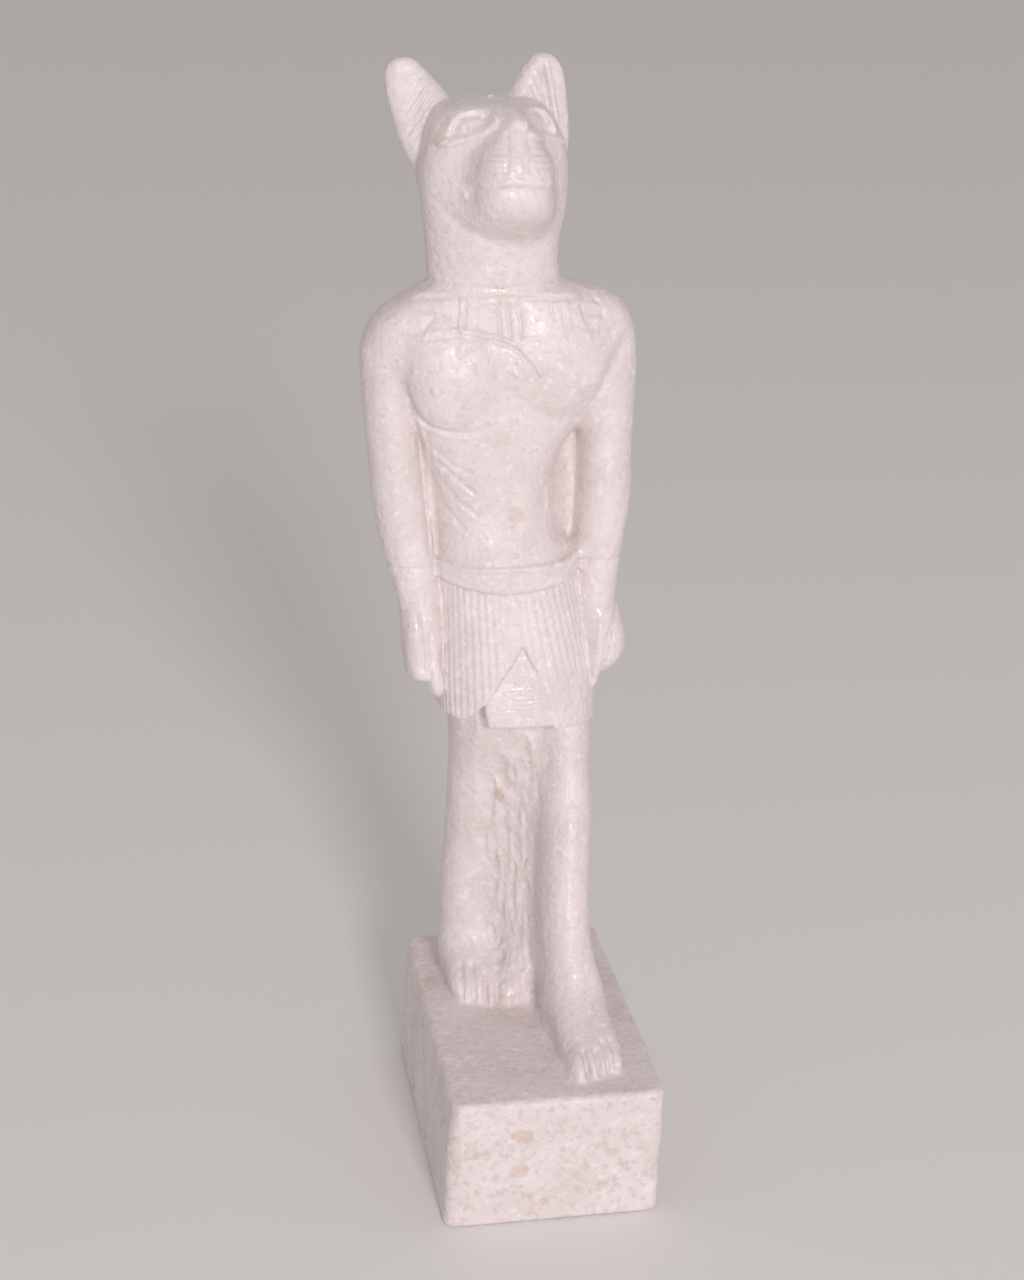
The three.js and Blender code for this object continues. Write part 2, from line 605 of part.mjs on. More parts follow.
// A block with all its edges worn round, pushed sideways and a little wider towards its foot.
function plinth() {
  const { half } = plinthPlan();
  const [w, l] = [half.x - PLINTH_EDGE, half.y - PLINTH_EDGE];
  const r = PLINTH_CORNER - PLINTH_EDGE;
  const outline = new THREE.Shape()
    .moveTo(-w + r, -l)
    .lineTo(w - r, -l)
    .absarc(w - r, -l + r, r, -Math.PI / 2, 0, false)
    .lineTo(w, l - r)
    .absarc(w - r, l - r, r, 0, Math.PI / 2, false)
    .lineTo(-w + r, l)
    .absarc(-w + r, l - r, r, Math.PI / 2, Math.PI, false)
    .lineTo(-w, -l + r)
    .absarc(-w + r, -l + r, r, Math.PI, 1.5 * Math.PI, false);
  const block = new THREE.ExtrudeGeometry(outline, {
    depth: PLINTH_HEIGHT - 2 * PLINTH_EDGE,
    bevelSize: PLINTH_EDGE,
    bevelThickness: PLINTH_EDGE,
    bevelSegments: 3,
    curveSegments: 4,
  });
  block.translate(0, 0, PLINTH_EDGE);
  const positions = block.attributes.position;
  for (let i = 0; i < positions.count; i += 1) {
    const lower = 0.5 - positions.getZ(i) / PLINTH_HEIGHT;
    const wider = 1 + (PLINTH_SPREAD * lower) / half.x;
    positions.setX(i, positions.getX(i) * wider - PLINTH_SKEW * lower);
  }
  return solidFrom(block, new THREE.Matrix4());
}

// The carving as one mesh, with the middle of the underside at the origin.
function carving() {
  const forms = [
    plinth(),
    ...legForms(),
    ...footForms(RIGHT_FOOT, RIGHT_TOES),
    ...footForms(LEFT_FOOT, LEFT_TOES),
    ...kiltForms(),
    ...torsoForms(),
    ...armForms(RIGHT_ARM, RIGHT_FIST, [RIGHT_THUMB, RIGHT_FINGER]),
    ...armForms(LEFT_ARM, LEFT_FIST, [LEFT_HEEL]),
    ...headForms(),
  ];
  const join = (solids) => solids.reduce((all, next) => all.add(next));
  // The small pockets that forms enclose where they meet are solid stone.
  const solid = join(join(forms).decompose().filter((shell) => shell.volume() > 0));
  const { numProp, numVert, vertProperties, triVerts } = solid.getMesh();
  const positions = new Float32Array(numVert * 3);
  for (let i = 0; i < numVert; i += 1) {
    positions.set(vertProperties.subarray(i * numProp, i * numProp + 3), i * 3);
  }
  const geometry = new THREE.BufferGeometry();
  geometry.setAttribute("position", new THREE.BufferAttribute(positions, 3));
  geometry.setIndex(new THREE.BufferAttribute(triVerts, 1));
  geometry.computeVertexNormals();
  return geometry;
}

const stone = new THREE.MeshStandardMaterial({ color: 0xe6dcda, roughness: 0.35, metalness: 0 });
const cat = new THREE.Mesh(carving(), stone);
cat.name = "cat_goddess_statuette";

const group = new THREE.Group();
group.add(cat);
export default group;
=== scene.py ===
"""A striding cat-headed goddess and her plinth, carved in one from a block of pale polished stone.

The carving is described as a carver meets it: a block, from which the plinth, legs, kilt, torso,
arms and head are brought out one after another, and then their lines are cut in. Each form is a
distance: a function that is negative inside the stone and positive outside it. They are melted
into one another, and the surface where the distance is zero becomes a single mesh.

Lengths are in millimetres until the mesh is made. x, away and level are the figure's own
coordinates, measured from the top of the plinth before the figure is scaled and leant.
"""

import math

import bmesh
import bpy
import numpy as np
from mathutils import Matrix, Vector


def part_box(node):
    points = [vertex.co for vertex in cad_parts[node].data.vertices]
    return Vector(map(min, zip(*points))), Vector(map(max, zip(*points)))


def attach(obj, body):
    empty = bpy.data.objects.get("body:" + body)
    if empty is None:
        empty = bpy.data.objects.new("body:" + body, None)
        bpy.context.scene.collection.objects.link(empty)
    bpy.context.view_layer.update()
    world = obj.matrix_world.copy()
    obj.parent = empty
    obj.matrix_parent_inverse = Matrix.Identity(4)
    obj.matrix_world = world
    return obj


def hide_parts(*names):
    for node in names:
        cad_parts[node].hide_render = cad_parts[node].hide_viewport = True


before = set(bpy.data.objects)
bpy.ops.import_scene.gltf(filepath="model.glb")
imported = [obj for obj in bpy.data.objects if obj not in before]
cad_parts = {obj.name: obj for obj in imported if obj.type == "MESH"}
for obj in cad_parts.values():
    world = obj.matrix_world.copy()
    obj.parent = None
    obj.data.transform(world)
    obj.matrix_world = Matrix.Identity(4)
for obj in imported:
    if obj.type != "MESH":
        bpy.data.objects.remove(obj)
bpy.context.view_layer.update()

# The plinth.
# The lower end of the block, squared up by eye: its sides lean a little, its edges and upright
# corners are worn round, its faces are not quite flat, and two hair cracks cross its front.

NODE = "cat_goddess_statuette"
MM = 0.001
FAR = 1e3  # millimetres, further than anything here
TINY = 1e-6  # millimetres, so that nothing is divided by 0
block_low, block_high = [np.array(corner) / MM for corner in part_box(NODE)]

PLINTH_HEIGHT = 37.4
PLINTH_HALF_WIDTH = 29.5
PLINTH_SKEW = 1.7
PLINTH_SPREAD = 0.45
PLINTH_EDGE = 2.2
PLINTH_CORNER = 4
PLINTH_WAVE = 0.2
PLINTH_PICKED = 0.22
PLINTH_CRACK_WIDTH = 0.5
PLINTH_CRACK_DEPTH = 0.35
PLINTH_CRACKS = [
    [(-27, 19.6), (-24, 20.8), (-19.6, 21.9), (-13, 21.2)],
    [(-4, 6.2), (-1.6, 8.8), (1.2, 9.6), (3.4, 10.3)],
    [(-3.4, 5.2), (-0.6, 7.6), (2, 8.6)],
]


def smooth(low, high, value):
    """0 below low, 1 above high, and an S-shaped cubic between them."""
    share = np.clip((value - low) / (high - low), 0, 1)
    return share * share * (3 - 2 * share)


def bump(distance):
    """A soft hill: 1 at distance 0, falling to 0 at distance 1 as the square of 1 - d squared."""
    return np.clip(1 - distance * distance, 0, 1) ** 2


def stroke(points, width, x, level):
    """A soft line through points of x and level, seen from the front: the bump of the distance
    to its nearest segment, as a share of width."""
    near = np.full(x.shape, FAR)
    for (x0, z0), (x1, z1) in zip(points[:-1], points[1:]):
        run = (x1 - x0, z1 - z0)
        share = ((x - x0) * run[0] + (level - z0) * run[1]) / (run[0] ** 2 + run[1] ** 2)
        share = np.clip(share, 0, 1)
        near = np.minimum(near, np.hypot(x - x0 - share * run[0], level - z0 - share * run[1]))
    return bump(near / width)


LATTICE_BITS = 5  # the noise repeats after 2 ** 5 values in each direction
noise_lattice = np.random.RandomState(7).rand(2 ** (3 * LATTICE_BITS)).astype(np.float32)


def roughness(x, y, z, size):
    """Smooth noise from -1 to 1: random values on a cubic lattice of that size, blended by an
    S-shaped cubic in each direction."""
    value = np.zeros(x.shape)
    cells = [np.floor(c / size).astype(np.int32) for c in (x, y, z)]
    parts = [c / size - cell for c, cell in zip((x, y, z), cells)]
    parts = [part * part * (3 - 2 * part) for part in parts]
    wrap = 2**LATTICE_BITS - 1
    rows = [
        [((cell + step) & wrap) << (LATTICE_BITS * axis) for step in (0, 1)]
        for axis, cell in enumerate(cells)
    ]
    for corner in range(8):
        steps = [(corner >> axis) & 1 for axis in range(3)]
        weight = np.ones(x.shape)
        for part, step in zip(parts, steps):
            weight = weight * (part if step else 1 - part)
        i, j, k = [row[step] for row, step in zip(rows, steps)]
        value += weight * noise_lattice[i + j + k]
    return 2 * value - 1


def cornered(u, v):
    """Distance to a right-angled corner, from the distances to its two sides."""
    return np.hypot(np.maximum(u, 0), np.maximum(v, 0)) + np.minimum(np.maximum(u, v), 0)


def plinth_distance(x, y, z):
    """A box with rounded upright corners and rounded edges, its lower end pushed sideways and
    a little wider: first the rounded rectangle in plan, then the same rounding against top and
    bottom."""
    lower = 0.5 - z / PLINTH_HEIGHT
    x = x + PLINTH_SKEW * lower
    u = np.abs(x) - (PLINTH_HALF_WIDTH + PLINTH_SPREAD * lower - PLINTH_CORNER)
    v = np.abs(y) - (block_high[1] - PLINTH_CORNER)
    plan = cornered(u, v) - PLINTH_CORNER + PLINTH_EDGE
    tall = np.abs(z - PLINTH_HEIGHT / 2) - (PLINTH_HEIGHT / 2 - PLINTH_EDGE)
    return cornered(plan, tall) - PLINTH_EDGE


def plinth_wear(x, y, z):
    """How far the plinth's faces fall back: slow waves, the cracks in the front face, and the
    picked right side."""
    waves = roughness(x, y, z, 11) + 0.5 * roughness(x, y, z, 4)
    front = smooth(-44, -48, y)
    cracks = sum(stroke(crack, PLINTH_CRACK_WIDTH, x, z) for crack in PLINTH_CRACKS)
    picked = PLINTH_PICKED * smooth(-24, -28, x) * (1 + roughness(x, y, z, 2.3))
    cut = PLINTH_CRACK_DEPTH * front * cracks
    return smooth(0.4, 3, z) * (PLINTH_WAVE * (waves + 1.5) + cut + picked)


# Legs, feet and the stone between them.
# The right leg stands under the body and the left strides forward as it goes down. The stone
# between them was never cut through: it is left as a rough, chiselled web.

FIGURE_HEIGHT = block_high[2] - PLINTH_HEIGHT
DRAWN_HEIGHT = 263.5
SCALE = FIGURE_HEIGHT / DRAWN_HEIGHT
LEAN = math.radians(2)
FIGURE_OFFSET = (0.15, -0.41)  # the figure's own axis, from the middle of the plinth

SEAT = -3  # how deep the feet are sunk into the plinth, so that no gap is left
# Here and in the sections below, a row is [level, x, away, half width, half depth], with its
# squareness after that where it isn't a plain ellipse's 2.
RIGHT_LEG = [
    [SEAT, -12, 27, 8.6, 9],
    [8, -12, 27, 8.2, 8.6],
    [17, -12, 26.5, 8, 8.2],
    [27, -12.2, 26, 7.6, 8.6],
    [36, -11.8, 26, 7.4, 9.4],
    [48, -10.9, 25, 7, 9.6],
    [60, -10.2, 24, 6.8, 9.4],
    [72, -9.6, 21.8, 6.9, 10.2],
    [84, -9, 19, 7.6, 11.6],
    [98, -8.6, 17, 8.4, 12.6],
]
LEFT_LEG = [
    [SEAT, 12, -13.5, 7.6, 9],
    [8, 11.9, -12.5, 7.4, 8.6],
    [17, 11.5, -10.5, 7, 7.8],
    [27, 11.2, -7.5, 6.4, 7.6],
    [36, 11.4, -5, 6.5, 8.2],
    [48, 12.4, -1.5, 6.8, 8.8],
    [60, 13.5, 2.5, 7, 8.8],
    [72, 14.1, 6, 7, 9.2],
    [84, 14.4, 9.5, 7.4, 9.8],
    [100, 13.5, 13, 8.4, 10.8],
]
# The web's front runs from beside the right leg, turns, and runs on to the left leg: the x and
# away of its three corners at each level.
WEB_FRONT = [
    [SEAT, -6.5, 19, 4, 4, 6, -12],
    [8, -6.5, 18.5, 4, 5, 6, -11],
    [24, -6.5, 17, 4, 7, 6, -7.5],
    [36, -6.5, 16, 4, 7.6, 6.6, -4],
    [60, -6.5, 13.6, 3.7, 8, 8, 3.4],
    [84, -6, 8.6, 3.7, 5.6, 8.6, 5.2],
    [103, -6, 5, 3.7, 3.2, 8.6, 3],
]
WEB_BACK = 30.5
WEB_HALF_WIDTH = 9.5
WEB_ROUGHNESS = 0.85
# A foot row is [away, x, height of the instep, half width]; a toe row is [x, tip, half width].
RIGHT_FOOT = [
    [38, -12, 5, 5],
    [35, -12, 10, 7.6],
    [28, -12, 19, 8.4],
    [21, -11.8, 16.4, 8.8],
    [16, -11.4, 12.2, 9],
    [12, -11.2, 9.4, 9],
    [8.6, -10.8, 7.2, 8.6],
    [6, -10, 4.6, 7.6],
]
LEFT_FOOT = [
    [-2, 12, 5, 5],
    [-5, 12, 10, 7.2],
    [-12, 12, 18.4, 7.7],
    [-20, 12.2, 14.4, 8],
    [-27, 12.6, 10.4, 8.2],
    [-33, 12.9, 7.4, 8],
    [-37, 13, 5.4, 7.4],
    [-39.4, 12.8, 3.4, 6.2],
]
RIGHT_TOES = [
    [-5, 2.5, 2.9],
    [-9.3, 3.4, 2.1],
    [-12.5, 5, 2],
    [-15.5, 7.4, 1.9],
    [-18.2, 10.8, 1.8],
]
LEFT_TOES = [
    [8, -43.2, 3],
    [12, -42, 2.1],
    [14.8, -40.2, 1.9],
    [17.2, -38, 1.8],
    [19.2, -35, 1.7],
]
TOE_LENGTH = 14
TOE_HEIGHT = 5
TOE_BLEND = 1.6
TOE_GROOVE = 1.15
TOE_GROOVE_LENGTHS = (6.6, 4.6, 5.4, 4)
ROUGH_LUMP = (0.6, 13.6, 1.6, (7.2, 10.4, 13.4))


def carve(low, high, blend, distance):
    """Adds a form that reaches from level low to level high, melted in over blend millimetres."""
    forms.append((low, high, blend, distance))


def melt(a, b, blend):
    """The lesser of two distances, rounded where they come closer than blend: a smooth union."""
    share = np.clip(0.5 + 0.5 * (b - a) / blend, 0, 1)
    return b + (a - b) * share - blend * share * (1 - share)


def section_curves(rows, samples=240):
    """Carries section rows [level, x, away, half width, half depth, squareness] along a
    centripetal Catmull-Rom curve, and returns it as arrays of levels and of the five others."""
    table = np.array([list(row) + [2] * (6 - len(row)) for row in rows], float)
    ends = np.vstack([2 * table[0] - table[1], table, 2 * table[-1] - table[-2]])
    share = np.linspace(0, len(rows) - 1, samples)
    span = np.minimum(share.astype(int), len(rows) - 2)
    t = (share - span)[:, None]
    p = [ends[span + k] for k in range(4)]
    runs = [p[k + 1] - p[k] for k in range(3)]
    gaps = [np.linalg.norm(run[:, :3], axis=1)[:, None] ** 0.5 for run in runs]

    def tangent(k):
        """The slope at a row: those of the runs before and after it, less that of both
        taken together, each over its own gap, and times the middle gap."""
        around = (runs[k] + runs[k + 1]) / (gaps[k] + gaps[k + 1])
        return (runs[k] / gaps[k] - around + runs[k + 1] / gaps[k + 1]) * gaps[1]

    leave = tangent(0)
    reach = tangent(1)
    out = p[1] + leave * t + (3 * runs[1] - 2 * leave - reach) * t**2
    out = out + (leave + reach - 2 * runs[1]) * t**3
    order = np.argsort(out[:, 0])
    return out[order, 0], out[order, 1:].T


def column(rows, proud=0.0, relief=None, lying=False):
    """Distance to a skin through the rows: how far the superellipse through a point is larger
    than the section at that level, over the slope of that, capped flat at the first and last
    rows. relief(x, away, level, angle) raises the skin. A lying form runs along away, not up."""
    levels, curves = section_curves(rows)

    def distance(x, away, level):
        along, side = (away, level) if lying else (level, away)
        across, middle, half_width, half_depth, squareness = [
            np.interp(along, levels, curve) for curve in curves
        ]
        u = np.abs(x - across) + TINY
        v = np.abs(side - middle) + TINY
        wide = (u / (half_width + proud)) ** squareness
        deep = (v / (half_depth + proud)) ** squareness
        power = wide + deep
        size = power ** (1 / squareness)
        skin = (size - 1) * power / (size * np.hypot(wide / u, deep / v))
        if relief is not None:
            angle = np.arctan2((side - middle) / half_depth, (x - across) / half_width)
            skin = skin - relief(x, away, level, angle)
        cap = np.maximum(levels[0] - along, along - levels[-1])
        return np.maximum(skin, cap)

    return distance


def turned(a, b, angle):
    """Two coordinates turned in their plane: a cos + b sin, and b cos - a sin."""
    cos = math.cos(angle)
    sin = math.sin(angle)
    return a * cos + b * sin, b * cos - a * sin


def lump(x0, away0, level0, size, tilt=0.0):
    """Distance to an egg of half width, depth and height size, turned by tilt in the front
    plane: the radius in egg units times (radius - 1), over the length of the radius's own
    gradient."""

    def distance(x, away, level):
        a, c = turned(x - x0, level - level0, math.radians(tilt))
        a = a / size[0]
        b = (away - away0) / size[1]
        c = c / size[2]
        radius = np.sqrt(a * a + b * b + c * c) + TINY
        slope = np.sqrt((a / size[0]) ** 2 + (b / size[1]) ** 2 + (c / size[2]) ** 2) + TINY
        return radius * (radius - 1) / slope

    return distance


def chips(x, away, level):
    """Chisel marks: creased noise and plain noise, both stretched upright, deeper higher up."""
    creases = 0.5 - np.abs(roughness(x, away, level / 2.6, 3))
    marks = roughness(x, away, level / 1.8, 1.4)
    depth = WEB_ROUGHNESS * (1 + 0.5 * smooth(50, 62, level))
    return depth * (creases + 0.45 * marks)


def behind(x, away, x0, away0, x1, away1):
    """Distance behind the upright plane from one corner to the next: the cross product of the
    plane's run with the way to the point, over the run's length."""
    cross = (x - x0) * (away1 - away0) + (away0 - away) * (x1 - x0)
    return cross / np.hypot(x1 - x0, away1 - away0)


def web_distance(x, away, level):
    """What lies behind the web's front: two upright planes that meet at its middle corner. It
    reaches from one leg's middle to the other's, and its first plane is chipped."""
    levels, *corners = np.array(WEB_FRONT).T
    corners = [np.interp(level, levels, corner) for corner in corners]
    rough = behind(x, away, *corners[:4]) - chips(x, away, level)
    front = melt(rough, behind(x, away, *corners[2:]), 2)
    front = np.maximum(front, np.minimum(corners[3], corners[5]) - away)
    return np.maximum(front, np.maximum(np.abs(x) - WEB_HALF_WIDTH, away - WEB_BACK))


def foot_rows(rows):
    """Sections across a foot: from the sunken sole to the height of the instep."""
    return [
        [away, x, (top + SEAT) / 2, half_width, (top - SEAT) / 2, 2.2]
        for away, x, top, half_width in rows
    ]


lump_skin = lump(*ROUGH_LUMP)


def rough_lump(x, away, level):
    """The heap of stone left at the web's foot, chipped like the web."""
    return lump_skin(x, away, level) - chips(x, away, level)


def foot(rows, toes):
    """Distance to a foot: its instep with the toes melted on, and a groove between each toe
    and the next, seen from above."""
    instep = column(foot_rows(rows), lying=True)
    parts = []
    for x, tip, half_width in toes:
        size = (half_width, TOE_LENGTH / 2, TOE_HEIGHT + half_width / 4)
        parts.append(lump(x, tip + TOE_LENGTH / 2, 0, size))
    grooves = []
    for toe, following, length in zip(toes[:-1], toes[1:], TOE_GROOVE_LENGTHS):
        x0, tip0, half0 = toe
        x1, tip1, half1 = following
        sign = 1 if x1 > x0 else -1
        middle = (x0 + sign * half0 + x1 - sign * half1) / 2
        tip = (tip0 + tip1) / 2
        grooves.append([(middle, tip - 2), (middle - 0.12 * sign * length, tip + length)])

    def distance(x, away, level):
        skin = instep(x, away, level)
        for toe in parts:
            skin = melt(skin, toe(x, away, level), TOE_BLEND)
        for groove in grooves:
            cut = TOE_GROOVE * stroke(groove, TOE_GROOVE, x, away)
            skin = skin + cut * smooth(0, 1.5, level)
        return skin

    return distance


forms = []
carve(SEAT, 98, 3.2, column(RIGHT_LEG))
carve(SEAT, 100, 3.2, column(LEFT_LEG))
carve(SEAT, 103, 4, web_distance)
carve(SEAT, 16, 3.4, rough_lump)
carve(SEAT, 21, 4, foot(RIGHT_FOOT, RIGHT_TOES))
carve(SEAT, 21, 4, foot(LEFT_FOOT, LEFT_TOES))

# Kilt, belt and apron.
# A wrapped kilt in narrow pleats, cut away in front over a flat apron that ends in a hanging
# tab, under a plain belt that dips at the front.

TORSO_AWAY = 16
HEM = 87.9
HEM_SLOPE = 0.088
WING_CURL = 6.5
WING_MIDDLE = -6
WING_REACH = 10
KILT_TOP = 130.4
KILT_EDGE = 0.7  # how far its cut edges are rubbed round
KILT = [
    [HEM - 8, 1.6, 13.8, 21.2, 19, 2.5],
    [90, 1.5, 14, 21.7, 18.8, 2.5],
    [100, 1.5, 14.5, 21.6, 18, 2.5],
    [112, 1.3, 15.5, 20.9, 16.6, 2.4],
    [KILT_TOP, 0.5, 16, 19.4, 14.2, 2.4],
]
PLEATS = 66
PLEAT_DEPTH = 0.42
PLEAT_FAN = 0.005  # radians for each millimetre below the belt
BELT = [
    [118, 0.6, 16, 20.6, 15.2, 2.4],
    [124.4, 0.6, 16, 20.4, 15, 2.4],
    [128, 0.4, 16, 20.1, 14.8, 2.4],
    [131.6, 0.2, 16, 19.6, 14.5, 2.3],
    [138, 0, 16, 19, 14, 2.3],
]
BELT_LOW = 124.4
BELT_HIGH = 131.6
BELT_LOW_RISE = 4
BELT_HIGH_RISE = 1.4
# The opening's left and right edges, as x at each level, from the tab's foot up to the apex.
APRON_LEFT = ((87.6, 93.6, 95.4, 109.4), (-8, -8.9, -8, 2))
APRON_RIGHT = ((87, 95.7, 102.4, 109.4), (9, 8, 5.4, 2))
APRON_DEEP = 0.7
RULING = 1.2  # from one line ruled across the panel to the next
RULING_WIDTH = 0.42
RULING_DEPTH = 0.18
TAB_LOW = 87.6


def pleat_relief(x, away, level, angle):
    """Rounded ribs with soft valleys between them: 1 less the sine's size at each pleat. They
    fan out in front to the left side, are worn on the right, and fade at the middle, where
    the stone is rubbed."""
    front = away < TORSO_AWAY
    fan = PLEAT_FAN * (KILT_TOP - level) * smooth(0, 14, x) * front
    rubbed = 0.5 * bump((x - 1) / 10) + 0.85 * smooth(3, 8, x) * smooth(108, 97, level)
    valley = 1 - np.abs(np.sin(PLEATS / 2 * (angle - fan)))
    worn = 1 - 0.3 * smooth(0, -5, x)
    return 0.3 - PLEAT_DEPTH * worn * (1 - front * np.minimum(rubbed, 1)) * valley


def hem_level(x, away):
    """The hem drops towards the leading leg, and curls up beside the apron in front."""
    front = away < TORSO_AWAY
    return HEM - HEM_SLOPE * x + WING_CURL * front * bump((x - WING_MIDDLE) / WING_REACH)


kilt_skin = column(KILT, relief=pleat_relief)
panel_skin = column(KILT)
belt_skin = column(BELT, proud=1.1)


def apron_outline(x, level):
    """Distance to the opening's sides and apex, seen from the front."""
    left = np.interp(level, *APRON_LEFT)
    right = np.interp(level, *APRON_RIGHT)
    above = level - APRON_LEFT[0][-1]
    return np.maximum(0.8 * np.maximum(left - x, x - right), 0.6 * above)


def kilt_distance(x, away, level):
    """The pleated skin above the hem, opened in front down to the flat panel. The panel lies
    deepest under the apex, comes forward towards the tab at its foot, and has wavering lines
    ruled across its lower part."""
    hem = hem_level(x, away) - level
    skin = -melt(-kilt_skin(x, away, level), -hem, KILT_EDGE)
    outline = apron_outline(x, level)
    opening = np.maximum(outline, away - (TORSO_AWAY - 6))
    wave = 0.35 * roughness(x, away, level, 2.6)
    ruled = bump((np.mod(level + wave, RULING) - RULING / 2) / RULING_WIDTH)
    deep = APRON_DEEP * (0.35 + 0.65 * smooth(95, 104, level))
    deep = deep * (1 - smooth(1, 5, x) * (0.3 + 0.7 * smooth(105, 99, level)))
    panel = panel_skin(x, away, level) + deep + RULING_DEPTH * ruled * smooth(104, 97, level)
    panel = -melt(-panel, -np.maximum(TAB_LOW - level, outline - 0.3), KILT_EDGE)
    opened = -melt(-skin, opening, 0.8)
    return np.minimum(opened, np.maximum(panel, away - TORSO_AWAY))


def belt_distance(x, away, level):
    """A band whose edges climb with the square of the way across, with a cord along its top
    edge set off by a groove."""
    lift = (x / BELT[0][3]) ** 2
    low = BELT_LOW + BELT_LOW_RISE * lift
    high = BELT_HIGH + BELT_HIGH_RISE * lift
    groove = 0.06 * bump((level - high + 1.7) / 0.6) - 0.1 * bump((level - high + 0.6) / 0.8)
    edges = np.maximum(low - level, level - high)
    return -melt(-(belt_skin(x, away, level) + groove), -edges, 0.9)


def belt_blend(level):
    """The belt's lower edge stands sharply on the pleats, and its upper edge runs into the
    belly."""
    return 0.4 + 2.2 * smooth(BELT_HIGH - 2, BELT_HIGH, level)


carve(HEM - 8, KILT_TOP, 0.35, kilt_distance)
carve(BELT_LOW - 1, BELT_HIGH + 2, belt_blend, belt_distance)

# Torso and collar.
# A slim waist under full, rounded breasts. The ribs are a few slanting cuts on the right side,
# and the broad collar is drawn in lines: a rim, radiating bars, a scalloped edge and drops.

TORSO = [
    [118, 0.3, 16, 18.5, 13.5, 2.2],
    [127, 0.2, 16, 18.8, 14.6, 2.2],
    [132, -0.2, 16, 18.4, 14.9, 2.2],
    [137, -1.5, 16, 17.2, 14.1, 2.1],
    [143, -3, 16.2, 15.8, 13.1, 2.1],
    [154, -3.2, 16.2, 16.4, 13, 2.2],
    [164, -2, 16, 20.1, 13.6, 2.3],
    [172, -0.6, 16, 25.2, 14.2, 2.5],
    [180, 0, 16, 29, 14.6, 2.6],
    [188, 0, 16, 31, 14.4, 2.6],
    [195, 0.4, 16, 31.2, 13.8, 2.5],
    [199, 1.4, 16, 29.8, 13.4, 2.5],
    [202.4, 2, 16, 26.8, 13, 2.4],
    [204.5, 1.4, 16, 22.4, 12.9, 2.3],
    [206.5, 0.7, 16, 18.2, 12.6, 2.1],
    [208, 0.2, 16, 16, 12.4, 2.1],
]
# The stone left standing between the arms and the body: behind both flanks, and further
# forward beside the right one.
FLANK_SLAB = [
    [97, 0, 18.5, 21, 5, 3],
    [130, -1, 24.6, 25, 5.4, 3],
    [160, -1, 24.6, 28, 5.4, 3],
    [186, 0, 18.5, 30, 7, 3],
]
RIGHT_SLAB = [
    [110, -11, 18.5, 13, 6, 3],
    [130, -13, 18.8, 13, 6.2, 3],
    [160, -15, 18.8, 13, 6.2, 3],
    [180, -15, 18.5, 13.5, 6.6, 3],
]
# The plane of the belly's left side: x and away of a line that it passes through, and its slope.
FLANK_SIDE = (12, 11.4, 1.25)
FLANK_LOW = 126
FLANK_HIGH = 178
# A carved line is its points of x and level, its width, and its depth or height.
COLLAR_GROOVES = [
    ([(-18.5, 203.6), (-9, 204.2), (0, 204.2), (9, 203.8), (18.5, 203)], 0.8, 0.7),
    ([(-11.4, 203.8), (-12, 196.6)], 0.65, 0.65),
    ([(-9.6, 203.8), (-10.2, 196.8)], 0.65, 0.6),
    ([(-1, 203.7), (-1.2, 194.2)], 0.65, 0.7),
    ([(1.7, 203.6), (1.6, 194)], 0.65, 0.7),
    ([(4.4, 203.5), (4.3, 194)], 0.65, 0.7),
    ([(12.4, 203), (13.3, 198)], 0.65, 0.65),
    ([(15.4, 201.7), (16.4, 193.8)], 0.65, 0.65),
    ([(20.4, 201.5), (22, 198), (23.7, 195.2)], 0.65, 0.65),
    ([(21.8, 204.6), (21.6, 202), (21.4, 199.3), (22.7, 195.6)], 0.8, 0.8),
    ([(18, 197.6), (21.4, 195.8)], 0.7, 0.7),
    ([(24.6, 203), (26.6, 200.6), (26.8, 198)], 0.7, 0.6),
    ([(-22, 201.2), (-17.9, 200.3), (-14.5, 198.5), (-12.1, 196.9)], 0.65, 0.65),
    ([(-25, 194.7), (-20.5, 195.9), (-18, 199.1)], 0.65, 0.6),
    ([(-12, 195.6), (-12.4, 190.4), (-12, 190), (-5.8, 192.9)], 0.65, 0.6),
    ([(-4.3, 193.4), (-4.1, 188.1)], 0.65, 0.6),
    ([(-2.8, 188.1), (-2.5, 183.3)], 0.65, 0.5),
    ([(-19.6, 194), (-11.4, 195.2), (-5.4, 193.4), (0.4, 192.5), (3, 191.2), (5.6, 188)], 0.8, 0.55),
]
COLLAR_RIDGES = [
    ([(-19, 205), (-9, 205.3), (0, 205.2), (9, 205), (19.5, 204.3)], 0.8, 0.4),
    ([(-20.1, 195.6), (-11.2, 196.6), (-5.4, 195), (0.1, 194), (3.6, 192)], 0.9, 0.5),
    ([(3.6, 192), (6.8, 188.6), (9.3, 184.8)], 0.9, 0.7),
    ([(4.8, 193.8), (10, 193.9), (15.4, 191)], 0.8, 0.35),
    ([(20, 202.1), (24.6, 201.2), (28.3, 199.8)], 0.9, 0.6),
]
COLLAR_DROPS = [
    (-16.6, 191.4),
    (-8.7, 187.4),
    (-18.9, 181),
    (-23.7, 185.9),
    (2.7, 184.6),
    (16.1, 189.8),
    (19.3, 191.3),
    (22.5, 193.7),
    (25.3, 197.7),
]
COLLAR_STRENGTH = 0.8
DROP_SIZE = 1.1
DROP_HEIGHT = 0.5
RIB_STROKES = [
    [(-17.8, 163), (-13.4, 158.6), (-10, 157.9)],
    [(-17.2, 159.4), (-13, 155.2), (-9.1, 152)],
    [(-16.4, 153.6), (-12.8, 149), (-8.6, 146)],
    [(-16.6, 147.6), (-13.6, 143.6), (-11, 140.6)],
]
